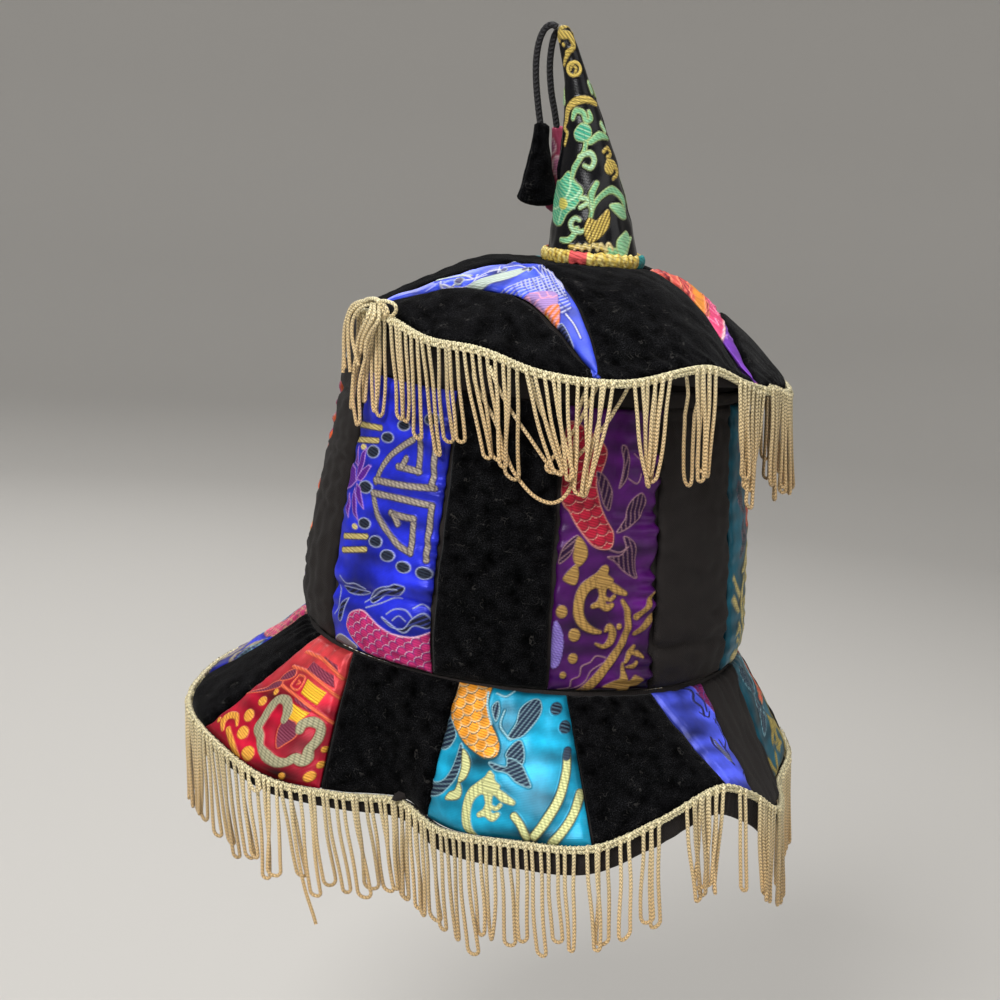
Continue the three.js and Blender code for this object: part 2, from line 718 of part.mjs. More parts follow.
const numbered = (name, index, cloth) => `${name}_${String(index + 1).padStart(2, "0")}_${cloth}`;

SIDE_STRIPS.forEach((row, k) => {
  const first = { foot: SIDE_STRIPS[0].foot + 360, top: SIDE_STRIPS[0].top + 360 };
  add(numbered("side_strip", k, row.cloth), row.cloth, sideStrip(row, SIDE_STRIPS[k + 1] ?? first));
});
add("side_band", "cotton", wallRing([0, 1], 0, SKIN, WALL_TOP + SEAM_GAP, WALL_BELOW_DOME));
add("side_lining", "lining", wallRing([0, 0.35, 0.7, 1], LINING_FACE, LINING_BACK, LINING_FOOT, WALL_BELOW_DOME));

DOME_FOLDS.forEach(({ angle, crescent }, k) => {
  add(`crown_gore_${k + 1}`, "velvet", crownGore(angle + 60));
  add(`crown_crescent_${k + 1}`, crescent, crownCrescent(angle));
  add(`crown_puff_${k + 1}`, "velvet", crownPuff(angle));
});
add("crown_lining", "lining", crownLining());

BRIM_GORES.forEach(({ cloth }, k) => add(numbered("brim_gore", k, cloth), cloth, brimGore(k)));
for (let k = 0; k < LINING_QUARTERS; k++) add(`brim_lining_${k + 1}`, "lining", brimLining(k));
add("brim_facing", "lining", brimFacing());

const domeEdge = (angle) => domePoint(angle, DOME_RADIUS);
const domeOut = (angle) => polar(angle, 1, 0);
add("upper_fringe", "fringe", fringe(UPPER_LOCKS, UPPER_LENGTH, domeEdge, domeOut, clearOfWall));
add("lower_fringe", "fringe", fringe(LOWER_LOCKS, LOWER_LENGTH, edgePoint, edgeOut, (point) => point));

add("spire", "spire_satin", spire());
add("spire_piping", "piping", piping());
for (const [name, points] of Object.entries(CORDS)) add(name, "cord", cord(points));
for (const row of DROPS) add(row.name, row.cloth, drop(row));

export default hat;
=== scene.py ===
import math

import bpy
import numpy as np
from mathutils import Matrix, Vector


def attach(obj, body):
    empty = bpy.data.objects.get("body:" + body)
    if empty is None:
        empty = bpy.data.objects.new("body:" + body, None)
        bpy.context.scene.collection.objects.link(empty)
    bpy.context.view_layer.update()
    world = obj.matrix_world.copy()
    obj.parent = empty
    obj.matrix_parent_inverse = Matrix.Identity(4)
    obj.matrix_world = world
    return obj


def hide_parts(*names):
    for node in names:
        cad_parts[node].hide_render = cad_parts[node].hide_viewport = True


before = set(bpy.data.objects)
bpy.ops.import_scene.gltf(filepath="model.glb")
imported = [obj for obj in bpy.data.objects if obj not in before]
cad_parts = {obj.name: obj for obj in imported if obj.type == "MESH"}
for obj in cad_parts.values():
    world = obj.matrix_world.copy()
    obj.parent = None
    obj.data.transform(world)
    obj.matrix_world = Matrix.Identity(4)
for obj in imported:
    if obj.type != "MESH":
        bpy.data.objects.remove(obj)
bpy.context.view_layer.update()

bl_info = {
    "name": "Patchwork jester hat",
    "version": (1, 0, 0),
    "blender": (4, 5, 0),
    "location": "3D View > Sidebar > Hat",
    "description": "Makes a patchwork jester hat of velvet, cotton and brocade, with looped fringes and a soft spire",
    "category": "Add Mesh",
}

# The hat's tables, in millimetres and degrees. An angle starts at the front and turns towards +X.
MM = 0.001
# A full turn in radians, to the digits that the seeded waves were set with
FULL_TURN = 6.283
WALL_FOOT, WALL_TOP, WALL_PUFF, WALL_SHIFT, BELOW_DOME = 0.7, 118, 1.6, -1.3, 2.2
LINING_FACE, LINING_BACK = 2.2, 4.6
SEAM_GAP = 0.35
# Along a seam the cloth gets a painted shade and lies in a groove. Behind the seam it is turned in by the hem.
SEAM_PAINTED_SHADE, SEAM_PAINTED_SHADE_REACH, SEAM_DEPTH, SEAM_REACH, HEM = 0.45, 2.6, 1.2, 1.5, 1.5
# How far the painted lustre of a brocade, painted highlights and shade in soft bands, goes up and down over a patch
PAINTED_LUSTRE = 0.4
# The flat size of a sheet is a little over its piece, and the area it says is at least this share of that.
SHEET_EASE, LEAST_SHARE = 1.02, 0.31
# The UV map holds places on the flat cloth in units of so many millimetres. Once round a cord counts as so many.
LAY_UNIT, CORD_ROUND = 100, 100
# Heights on the wall and its radius there
WALL_RADIUS = ((0, 98), (12, 99.4), (30, 98.6), (60, 95.6), (95, 91), (145, 89.2))
# Strips of the wall: the angle of the left seam at the foot and at the top, and the cloth
STRIPS = (
    (-85, -88, "cotton"), (-55, -58.5, "blue"), (-21, -23, "velvet"), (7.5, 6, "purple"), (34.5, 34, "cotton"),
    (65, 65, "teal"), (95, 95, "velvet"), (125, 125, "red"), (155, 155, "cotton"), (185, 184, "turquoise"),
    (215, 213, "velvet"), (245, 242, "orange"),
)
DOME_SEAM, DOME_X, DOME_RADIUS, DOME_TILT, DOME_HOLE, DOME_LEAN, DOME_PUFF = 131, 6.5, 99.5, 4.5, 3, 3.5, 3
SPIRE_CLEAR, CRESCENT_TIP, CRESCENT_INNER, CRESCENT_OUTER = 28, 37, 31, 65
# Distances out from the dome's middle and the height there, then angles and how far the rim waves up
DOME_HEIGHT = ((0, 38), (20, 38), (35, 36.5), (50, 32), (65, 24), (79, 14), (90, 5.5), (99.5, 0))
DOME_WAVE = (
    (-140, -3), (-98, -1.5), (-50, 7), (-34, 3), (-20, 4), (-5, 0), (14, 2), (34, 12), (48, 7), (62, 3.5), (90, 1),
    (125, 4), (165, 0), (195, 2),
)
# How far the dome's rim is pushed in, where the folded end of the fringe covers it
DOME_PUSH = ((-130, 0), (-96, 5.5), (-78, 5.5), (-63, 0))
FOLDS = ((-29, "crown_blue"), (91, "crown_orange"), (211, "crown_teal"))
BRIM_RADIUS, BRIM_PUFF = 98.5, 2
# The brim's edge: the angle, the radius, the drop below the seam and how far the gore bows
BRIM_EDGE = (
    (-180, 141, 45, 1), (-150, 145, 40, 0), (-120, 145, 39, -2), (-95, 145, 40, -3), (-78, 147, 43, -2),
    (-64, 141, 47, 0), (-50, 130, 54, 1), (-38, 114, 55, 1), (-25, 102, 54, 1), (-12, 115, 57, 2), (3, 131, 52, 2),
    (15, 142, 48, 1), (25, 144, 37, 0), (36, 144.5, 25, -1), (44, 144, 31, -1.5), (53, 140, 43, -2),
    (66, 131, 52, -1.5), (82, 124, 54, -1), (98, 132, 51, 0), (120, 139, 47, 1), (150, 140, 46, 1),
)
# Gores of the brim: the angle of the left side at the seam above and at the edge, and the cloth
GORES = (
    (-85, -93, "velvet"), (-63, -69, "red"), (-46.5, -41, "velvet"), (-13.9, -17, "turquoise"), (12.6, 15, "velvet"),
    (35.1, 38.5, "violet"), (54.3, 45.5, "cotton"), (76, 80, "teal"), (98, 101, "velvet"), (120, 122, "orange"),
    (142.5, 143, "cotton"), (164.6, 163, "purple"), (186.7, 184, "velvet"), (208.8, 205, "red"),
    (230.9, 226, "velvet"), (253, 246, "blue"),
)
# A loop of a fringe: its width (mean, spread, least, most), its twist, its swing and how far apart its ends are
LOOP_WIDTH, LOOP_TWIST, LOOP_SWING, LOOP_FOOT, HEADING_PITCH = (3.8, 1.1, 2.1, 6.4), 38, 1.1, 3.3, 3.3
# How far the loops hang to the right of straight down, because the head is held at a tilt
TILT = 0.11
SPIRE_Y, SPIRE_LOW, SPIRE_HIGH, SPIRE_FOOT_X, SPIRE_FOOT = 2, 171.5, 269.2, 14, 20.5
PIPING_RADIUS, PIPING_ROUND = 21.6, 22.6
# The spire's middle line and thickness: x, height and radius
SPIRE = (
    (14, 170, 20.5), (13.3, 174, 20), (11.6, 185.5, 17.6), (9.3, 199, 15), (6.7, 213.5, 12.4), (4.9, 222, 10.4),
    (3.1, 230.5, 8.5), (0.3, 240.5, 6.4), (-2.2, 249, 4.9), (-4.7, 256, 4.2), (-7.2, 262.5, 3.5), (-9.2, 267.3, 2.6),
    (-10.1, 269.3, 1.2),
)
CORDS = {
    "left": ((-12.3, 0.2, 268.5), (-14.9, 0.8, 269.2), (-17.7, 1.9, 266.9), (-19.5, 3.2, 261.3), (-19.9, 4.6, 253.5),
             (-19, 6, 244.5), (-17, 7.2, 234), (-15.2, 8, 226.2)),
    "right": ((-11.5, 4.8, 267.6), (-13.1, 5.8, 265), (-13.9, 7.2, 259), (-13.7, 8.8, 251), (-12, 11, 241),
              (-9.6, 13.2, 232.5), (-7.9, 14.6, 225.6)),
}
# The drops: the cloth, the top, the foot and which way the flat side turns
DROPS = {
    "left": ("velvet", (-15, 8.1, 225.5), (-13.2, 10, 191), 37),
    "right": ("rose", (-7.3, 15, 225), (1.5, 27.5, 187), 6),
}
BROCADES = ("blue", "purple", "teal", "red", "turquoise", "orange", "violet")
# A carp's scales: the step from row to row, the reach of a scale and where its pale rim starts, in scale widths
SCALE_STEP, SCALE_REACH, SCALE_RIM = 0.8, 0.64, 0.575
# The camera: its two angles, its lens and how far the picture is shifted
CAMERA_TILT, CAMERA_ROLL, CAMERA_LENS, CAMERA_SHIFT = 11.18, 6.04, 67.35, -0.0356


# Shapes of the hat
def column(rows, value, period=0):
    """A column of a table as a smooth function of its first column. With a period it closes on itself."""
    xs, ys = (np.array([row[k] for row in rows], float) for k in (0, value))
    if period:
        xs = np.concatenate([xs[-2:] - period, xs, xs[:3] + period])
        ys = np.concatenate([ys[-2:], ys, ys[:3]])
    else:
        xs, ys = np.concatenate([xs[:1], xs, xs[-1:]]), np.concatenate([ys[:1], ys, ys[-1:]])

    def read(place):
        x = np.asarray(place, float)
        x = rows[0][0] + np.mod(x - rows[0][0], period) if period else np.clip(x, rows[0][0], rows[-1][0])
        k = np.clip(np.searchsorted(xs, x, side="right") - 1, 1, len(xs) - 3)
        span = xs[k + 1] - xs[k]

        def slope(low, high):
            run = xs[high] - xs[low]
            return (ys[high] - ys[low]) / np.where(run == 0, span, run) * span

        t = (x - xs[k]) / span
        bend = (2 * t - 3) * t * t
        rest = t * (t - 1) * ((t - 1) * slope(k - 1, k + 1) + t * slope(k, k + 2))
        return (1 + bend) * ys[k] - bend * ys[k + 1] + rest

    return read


wall_radius, dome_height, dome_wave = column(WALL_RADIUS, 1), column(DOME_HEIGHT, 1), column(DOME_WAVE, 1, 360)
edge_radius, edge_drop, edge_bow = (column(BRIM_EDGE, k, 360) for k in (1, 2, 3))
SPIRE_ROWS = tuple((row[1], row[0], row[2]) for row in SPIRE)
spire_x, spire_radius = column(SPIRE_ROWS, 1), column(SPIRE_ROWS, 2)


def polar(angle, radius, z, x=0.0):
    """A point at an angle round an upright axis at (x, 0)."""
    turn = np.radians(angle)
    return np.stack(np.broadcast_arrays(x + radius * np.sin(turn), -radius * np.cos(turn), z), -1).astype(float)


def unit(vectors):
    return vectors / np.maximum(np.linalg.norm(vectors, axis=-1, keepdims=True), 1e-9)


def upward(vectors):
    return np.where(vectors[..., 2:] < 0, -vectors, vectors)


def mix(a, b, share):
    return a + (b - a) * share


def turned(x, y, turn):
    """The place (x, y) seen in axes that are turned by some degrees."""
    c, s = math.cos(math.radians(turn)), math.sin(math.radians(turn))
    return x * c + y * s, y * c - x * s


def even_turns(count):
    """Even steps round a circle, in radians."""
    return np.arange(count) / count * 2 * np.pi


def signed(turn):
    return np.mod(turn + np.pi, 2 * np.pi) - np.pi


def fullness(u, v):
    """Fullness of a padded patch: none at its seams, all of it in the middle."""
    return np.sqrt(np.clip(16 * u * (1 - u) * v * (1 - v), 0, None))


def wall_point(angle, radius, height):
    return polar(angle, radius, height, WALL_SHIFT * np.clip(np.asarray(height) / 30, 0, 1))


def rim_plane(x):
    return DOME_SEAM - math.tan(math.radians(DOME_TILT)) * (x - DOME_X)


def wall_top(angles):
    """The height at which the wall ends, a little under the dome's wavy rim."""
    return rim_plane(polar(angles, 90, 0.0)[..., 0]) + np.minimum(dome_wave(angles), 0) - BELOW_DOME


def beyond_spire(out):
    return np.clip((out - SPIRE_CLEAR) / (DOME_RADIUS - SPIRE_CLEAR), 0, 1)


def dome_point(angle, out):
    """The dome's outer face at an angle round its own middle and a distance out from it."""
    angle, out = np.broadcast_arrays(np.asarray(angle, float), np.asarray(out, float))
    share = out / DOME_RADIUS
    flat = 6 * np.maximum(np.cos(np.radians(angle - 225)), 0)
    full = DOME_LEAN * np.sin(np.radians(angle)) * np.sin(np.pi * np.minimum(share, 1))
    pushed = np.interp(np.mod(angle + 180, 360) - 180, *zip(*DOME_PUSH)) * share**3
    p = polar(angle, out - pushed, 0.0, DOME_X)
    p[..., 2] = rim_plane(p[..., 0]) + dome_height(out) + full + dome_wave(angle) * share**3
    p[..., 2] -= flat * np.sin(np.pi * beyond_spire(out)) ** 2
    return p


def dome_above(angle, out, rise):
    """A point that stands off the dome's face by rise."""
    reach = np.clip(out, 2, DOME_RADIUS - 0.5)
    across = dome_point(angle + 0.2, reach) - dome_point(angle - 0.2, reach)
    normal = upward(unit(np.cross(across, dome_point(angle, reach + 0.2) - dome_point(angle, reach - 0.2))))
    return dome_point(angle, out) + normal * np.asarray(rise)[..., None]


def dome_at(x, y):
    return dome_point(np.degrees(np.arctan2(x - DOME_X, -y)), np.hypot(x - DOME_X, y))[..., 2]


def crescent_half(out):
    share = np.clip((out - CRESCENT_INNER) / (DOME_RADIUS - CRESCENT_INNER), 0, 1)
    return CRESCENT_TIP * np.sin(np.pi / 2 * np.sqrt(share)) ** 1.5


def crescent_seams(turn):
    """How far out the two seams of a crescent run at a turn from its middle."""
    share = np.minimum(np.abs(turn) / CRESCENT_TIP, 1)
    inner = (2 / np.pi * np.arcsin(share ** (2 / 3))) ** 2
    return mix(CRESCENT_INNER, DOME_RADIUS, inner), mix(CRESCENT_OUTER, DOME_RADIUS, share**2.5)


def edge_point(angle):
    return polar(angle, edge_radius(angle), -edge_drop(angle))


def edge_out(angle):
    """The level direction straight out from the brim's edge."""
    along = edge_point(np.asarray(angle) + 0.5) - edge_point(np.asarray(angle) - 0.5)
    return unit(np.stack([along[..., 1], -along[..., 0], 0 * along[..., 0]], -1))


def gore_angles(place):
    """The angles at the seam above and at the edge, for a place that counts gores round the hat."""
    place = np.mod(np.asarray(place, float), len(GORES))
    rows = np.array([row[:2] for row in GORES] + [(row[0] + 360, row[1] + 360) for row in GORES[:1]])
    at = np.arange(len(rows))
    return np.interp(place, at, rows[:, 0]), np.interp(place, at, rows[:, 1])


def brim_point(place, fall):
    """The brim's outer face: fall goes from the seam to the edge."""
    place, fall = np.broadcast_arrays(np.asarray(place, float), np.asarray(fall, float))
    above, angle = gore_angles(place)
    top, edge = polar(above, BRIM_RADIUS, 0.0), edge_point(angle)
    out = edge_out(above)
    bow = upward(unit(np.cross(edge - top, np.stack([out[..., 1], -out[..., 0], 0 * out[..., 0]], -1))))
    return top + (edge - top) * fall[..., None] + bow * (edge_bow(angle) * 4 * fall * (1 - fall))[..., None]


def spire_point(turn, height):
    """The spire's face: turn in radians from the front, and the height of its middle line."""
    radius, slope = spire_radius(height), -np.arctan(spire_x(height + 0.5) - spire_x(height - 0.5))
    level = radius * np.sin(turn)
    x, z = spire_x(height) + level * np.cos(slope), height + level * np.sin(slope)
    return np.stack(np.broadcast_arrays(x, SPIRE_Y - radius * np.cos(turn), z), -1)


def swell(x, y, size, seed, waves=9):
    """Soft uneven waves of about the given size, from -1 to 1."""
    dice = np.random.default_rng(seed)
    total = 0
    for turn, phase, stretch in dice.uniform((0, 0, 0.7), (FULL_TURN, FULL_TURN, 1.5), (waves, 3)):
        total = total + np.sin((x * math.cos(turn) + y * math.sin(turn)) * FULL_TURN * stretch / size + phase)
    return total / math.sqrt(waves)


def puckers(along, away, pitch, reach, seed):
    """Small gathers that run in from a seam, where the thread pulls the cloth."""
    warp = 1.6 * swell(along, 0 * along, pitch * 4, seed)
    gather = np.sin(FULL_TURN * along / pitch + warp) * np.exp(-away / reach)
    return gather * (0.6 + 0.4 * swell(along, away, 30, seed + 1))


# Woven motifs, drawn on a patch laid flat, in millimetres
def srgb(red, green, blue):
    """The colour of screen values from 0 to 255, as the shaders take it."""

    def linear(value):
        return value / 255 / 12.92 if value < 11 else ((value / 255 + 0.055) / 1.055) ** 2.4

    return tuple(round(linear(value), 4) for value in (red, green, blue))


def plotted(points):
    """Points as an array. A drawing can write them as "x,y x,y"."""
    if isinstance(points, str):
        points = [[float(number) for number in point.split(",")] for point in points.split()]
    return np.asarray(points, float)


def rounded(points, closed=False):
    """A smooth line through points."""
    p = plotted(points)
    p = np.concatenate([p[-1:], p, p[:2]]) if closed else np.concatenate([p[:1], p, p[-1:]])
    t = np.linspace(0, 1, 6, endpoint=False)[:, None]
    parts = []
    for a, b, c, d in zip(p, p[1:], p[2:], p[3:]):
        square, cube = 2 * a - 5 * b + 4 * c - d, 3 * b - a - 3 * c + d
        parts.append(0.5 * (2 * b + (c - a) * t + square * t**2 + cube * t**3))
    if not closed:
        parts.append(p[-2:-1])
    return np.concatenate(parts)


class Weaving:
    """The colours and raised threads of one patch."""

    def __init__(self, x, y, ground):
        self.x, self.y = x, y
        self.tint = np.broadcast_to(np.array(ground, float), (*x.shape, 3)).copy()
        self.thread, self.rise = np.zeros(x.shape), np.zeros(x.shape)

    def lay(self, inside, colour, rise=0.3, thread=1.0):
        """Lays threads of a colour where inside is over 0 mm."""
        cover = np.clip(inside / 0.4 + 0.5, 0, 1)
        self.tint += (np.array(colour) - self.tint) * cover[..., None]
        self.thread += (thread - self.thread) * cover
        self.rise = np.maximum(self.rise, rise * np.clip(inside / 0.7 + 0.5, 0, 1))

    def beside(self, a, run):
        """Where along a straight run from a each place is, from 0 to 1, and how far off it."""
        t = np.clip(((self.x - a[0]) * run[0] + (self.y - a[1]) * run[1]) / max(run @ run, 1e-6), 0, 1)
        return t, np.hypot(self.x - a[0] - run[0] * t, self.y - a[1] - run[1] * t)

    def line(self, points, width):
        """How far inside a line each place is. The width can be a list, spread along the line."""
        p = rounded(points)
        widths = np.interp(np.linspace(0, 1, len(p)), np.linspace(0, 1, np.size(width)), np.atleast_1d(width)) / 2
        best = np.full(self.x.shape, -9.0)
        for k in range(len(p) - 1):
            t, off = self.beside(p[k], p[k + 1] - p[k])
            best = np.maximum(best, mix(widths[k], widths[k + 1], t) - off)
        return best

    def area(self, points, sharp=False):
        """How far inside a closed outline each place is."""
        p = plotted(points) if sharp else rounded(points, True)
        inside = np.zeros(self.x.shape, bool)
        near = np.full(self.x.shape, 9.0)
        for a, b in zip(p, np.roll(p, -1, 0)):
            run = b - a
            near = np.minimum(near, self.beside(a, run)[1])
            if a[1] != b[1]:
                crossing = (self.y > min(a[1], b[1])) & (self.y <= max(a[1], b[1]))
                inside ^= crossing & (self.x < a[0] + run[0] * (self.y - a[1]) / run[1])
        return np.where(inside, near, -near)

    def dot(self, x, y, width, height=None, turn=0):
        """How far inside an oval each place is."""
        height = height or width
        u, v = turned(self.x - x, self.y - y, turn)
        return (1 - np.hypot(u / (width / 2), v / (height / 2))) * min(width, height) / 2

    def hatch(self, turn, pitch, share=0.5):
        """Parallel stripes: over 0 on a stripe."""
        along = turned(self.x, self.y, turn)[0]
        return (np.cos(FULL_TURN * along / pitch) - math.cos(math.pi * share)) * pitch / FULL_TURN

    def outlined(self, inside, fill, edge, width=0.7, rise=0.3):
        """A filled shape with a line along its edge."""
        self.lay(inside, fill, rise)
        self.lay(width / 2 - np.abs(inside), edge, rise + 0.1)

    def striped(self, inside, fill, stripe, turn, pitch, edge=None, rise=0.3, share=0.34):
        """A filled shape with stripes across it, and with a line along its edge if that has a colour."""
        self.lay(inside, fill, rise)
        self.lay(np.minimum(inside, self.hatch(turn, pitch, share)), stripe, rise + 0.1)
        if edge is not None:
            self.lay(0.2 - np.abs(inside), edge, rise + 0.15)

    def scales(self, inside, fill, edge, deep, size=4.2, turn=0):
        """A carp's flank: rows of overlapping round scales."""
        u, v = turned(self.x, self.y, turn)
        u, v = u / size, v / size / SCALE_STEP
        row, reach = np.floor(v), np.full(u.shape, 9.0)
        for step in (1, 0, -1):
            across = np.mod(u - 0.5 * np.mod(row - step, 2), 1) - 0.5
            away = np.hypot(across, (v - row + step) * SCALE_STEP)
            reach = np.where((reach > 8) & (away < SCALE_REACH), away, reach)
        self.lay(inside, fill, 0.35)
        shade = np.clip((reach - 0.4) * 6, 0, 0.8) * np.clip(inside / 0.4, 0, 1)
        self.tint += (np.array(deep) - self.tint) * shade[..., None]
        self.tint *= 1 + (0.2 * swell(self.x, self.y, 7, 33) * np.clip(inside, 0, 1))[..., None]
        self.lay(np.minimum(inside, (np.minimum(reach, 0.7) - SCALE_RIM) * size), edge, 0.45)
        self.lay(0.24 - np.abs(inside), edge, 0.45)


PALE, NAVY, SLATE = srgb(164, 172, 206), srgb(16, 18, 40), srgb(52, 66, 84)
GOLD, SILVER_GOLD, STRAW, OLIVE = srgb(206, 164, 84), srgb(168, 156, 140), srgb(214, 196, 128), srgb(110, 100, 52)


def fret_pattern(w, koi, flip=1):
    """A roundel of key frets in a ring of dots, with bars, a small flower and a carp's flank below."""
    w.x = w.x * flip
    bars = [
        "-6,74.5 -3,83 3,89.5 11,95.2", "-6,69.8 -2,61.5 5,55.5 11,51.5 17,49.5",
        "-6.5,75.2 10,76 24,77.5", "-6.5,69.8 8,70.4 24,70.3",
        "14.4,97 15.4,89 15.2,82.5", "4.8,83 10,83 15.8,82.8", "6.5,83 8.6,87",
        "17,49.5 16.8,57 16.2,63.5", "5,63.8 11,63.4 16.4,63.6", "6.5,63 9,60",
        "22,99 22.4,88 22.8,77.5", "24,70 23.8,60 24.3,48",
    ]
    for line in bars:
        shape = w.line(line, 2.7)
        w.lay(shape, SILVER_GOLD, 0.45)
        w.lay(np.minimum(shape, w.hatch(40, 1.7, 0.3)), srgb(84, 74, 84), 0.45)
        w.lay(0.2 - np.abs(shape), srgb(60, 52, 70), 0.45)
    for x, y, wide, high in (
        (-12, 86, 8.6, 5), (-4, 93.5, 7.6, 4.2), (-12, 71, 9, 5), (-9, 56.3, 7.6, 4.4), (-1, 50.5, 7, 4.6),
        (6.2, 46.2, 7, 4.6), (14.6, 43.2, 6.6, 4.6), (24, 42.6, 7, 5), (5, 100, 7, 4), (19.5, 105, 7, 5),
    ):
        w.striped(w.dot(x, y, wide, high, 5), NAVY, SLATE, 80, 1.3, PALE)
    for line in ("-28,88.3 -10,91", "-27,95 -9,96.5", "-21.5,48 -6.5,51.3", "-21.5,42 -6,46"):
        w.striped(w.line(line, 2.5), STRAW, srgb(150, 122, 60), 80, 1.4, NAVY)
    for x, y in ((-20, 86.5), (-15, 53.6)):
        w.lay(w.dot(x, y, 4.4, 2.4), STRAW, 0.4)
    for petal in (
        "-19,72 -21,78 -19.6,84 -17.2,86.6 -16.8,82 -17.6,77", "-19,73 -17,77.4 -13.4,80 -11,80 -13.6,75.6 -16,72.6",
        "-19,71 -15.4,70 -13.4,66.4 -10.8,62 -15,64 -18,67",
        "-20,69 -17.6,65.6 -15.6,61 -13.4,56.6 -17.4,58.6 -20,63", "-27,78 -22.6,76.6 -19.6,72 -23.6,68.6 -27,67",
        "-24,86 -22.6,81 -21.4,78 -24.6,79", "-23,66 -21,61 -21,56 -24,60",
    ):
        w.outlined(w.area(petal, True), srgb(92, 26, 150), srgb(176, 130, 214), 0.5)
    for fin in (
        "-2,27 4,32 9,34 12,35.5 16.5,35 13.5,31 6,29.3 1,25",
        "6,20.3 10,17.4 16,17.6 20,22.5 25,26 28.5,23 27,20 21,20 16,16",
        "-20,13 -19,19 -14.5,23 -16,18 -18,12.6", "-19,27 -8,28.4 -2,28.5 -8,26 -16,25",
    ):
        w.striped(w.area(fin), NAVY, srgb(60, 70, 150), 120, 1.9, PALE, share=0.3)
    for line in (
        "-4,24 2,29 8,32.4 13,33.4", "-3,22 4,25.4 10,29 14.6,30", "-21,31 -16,29 -10,30.4 -4,29.6",
        "-24,26 -20.4,22 -21,17 -23,14", "8,22 12,25 17,25.6 20,23.4", "11,20 14,22.6 17,21", "20,27 24,29.4 28,27",
    ):
        w.lay(w.line(line, 0.5), PALE, 0.3)
    flank = w.area(
        "-14,12 -12,17 -8,19.6 -4,20.4 0,18.6 6,15.6 13,14.4 21,15.2 28,18.4 36,22 36,-2 15,-3 2,0.5 -6,3 -12,8"
    )
    w.scales(flank, koi, srgb(226, 176, 196), srgb(78, 16, 112), 4.3, 37)
    w.outlined(w.area("-26,1 -21,5.4 -16,6 -9,3.4 -16,0.6"), srgb(120, 118, 126), srgb(190, 190, 190), 0.5)
    w.x = w.x * flip


def hooked_scroll(w, gold, x, y, scale):
    """A hooked scroll with a leaf at its top, hung from a tip at (x, y)."""
    dark, edge = np.array(gold) * 0.35, np.array(gold) * 0.6

    def put(points):
        return [(x + a * scale, y + (b - 54) * scale) for a, b in plotted(points)]

    for line, width in (
        (
            "-2.4,51.6 -5.6,48.2 -9.6,45 -11.6,40.4 -11.8,34.4 -9.6,30 -6,27.7 -2.8,27",
            [3, 4.6, 4.2, 3.8, 3.8, 3.4, 2.4, 1.2],
        ),
        ("-3,45.4 -2.4,42 -3,39", [3, 2.4, 3.4]), ("-6.2,37.6 -3.4,38.6 -0.6,37.2 1.6,38.4", [1.6, 2.6, 2.8, 1.4]),
        ("-1.6,44.6 -2,41.8 0.6,40.4 2.4,41.8", [1.3]),
        ("-6,47 -3,46.4 0.4,46.4 3.4,44.6 7.2,43", [3, 3, 2.6, 3.2, 1.6]),
    ):
        w.striped(w.line(put(line), np.array(width) * scale), gold, dark, 12, 2.1, edge, 0.5, 0.22)
    w.striped(w.area(put("-3,54 -0.4,50.4 1.8,48.4 0,46.2 -4,46.4 -5.4,49.4")), gold, dark, 80, 1.7, edge, 0.5, 0.24)


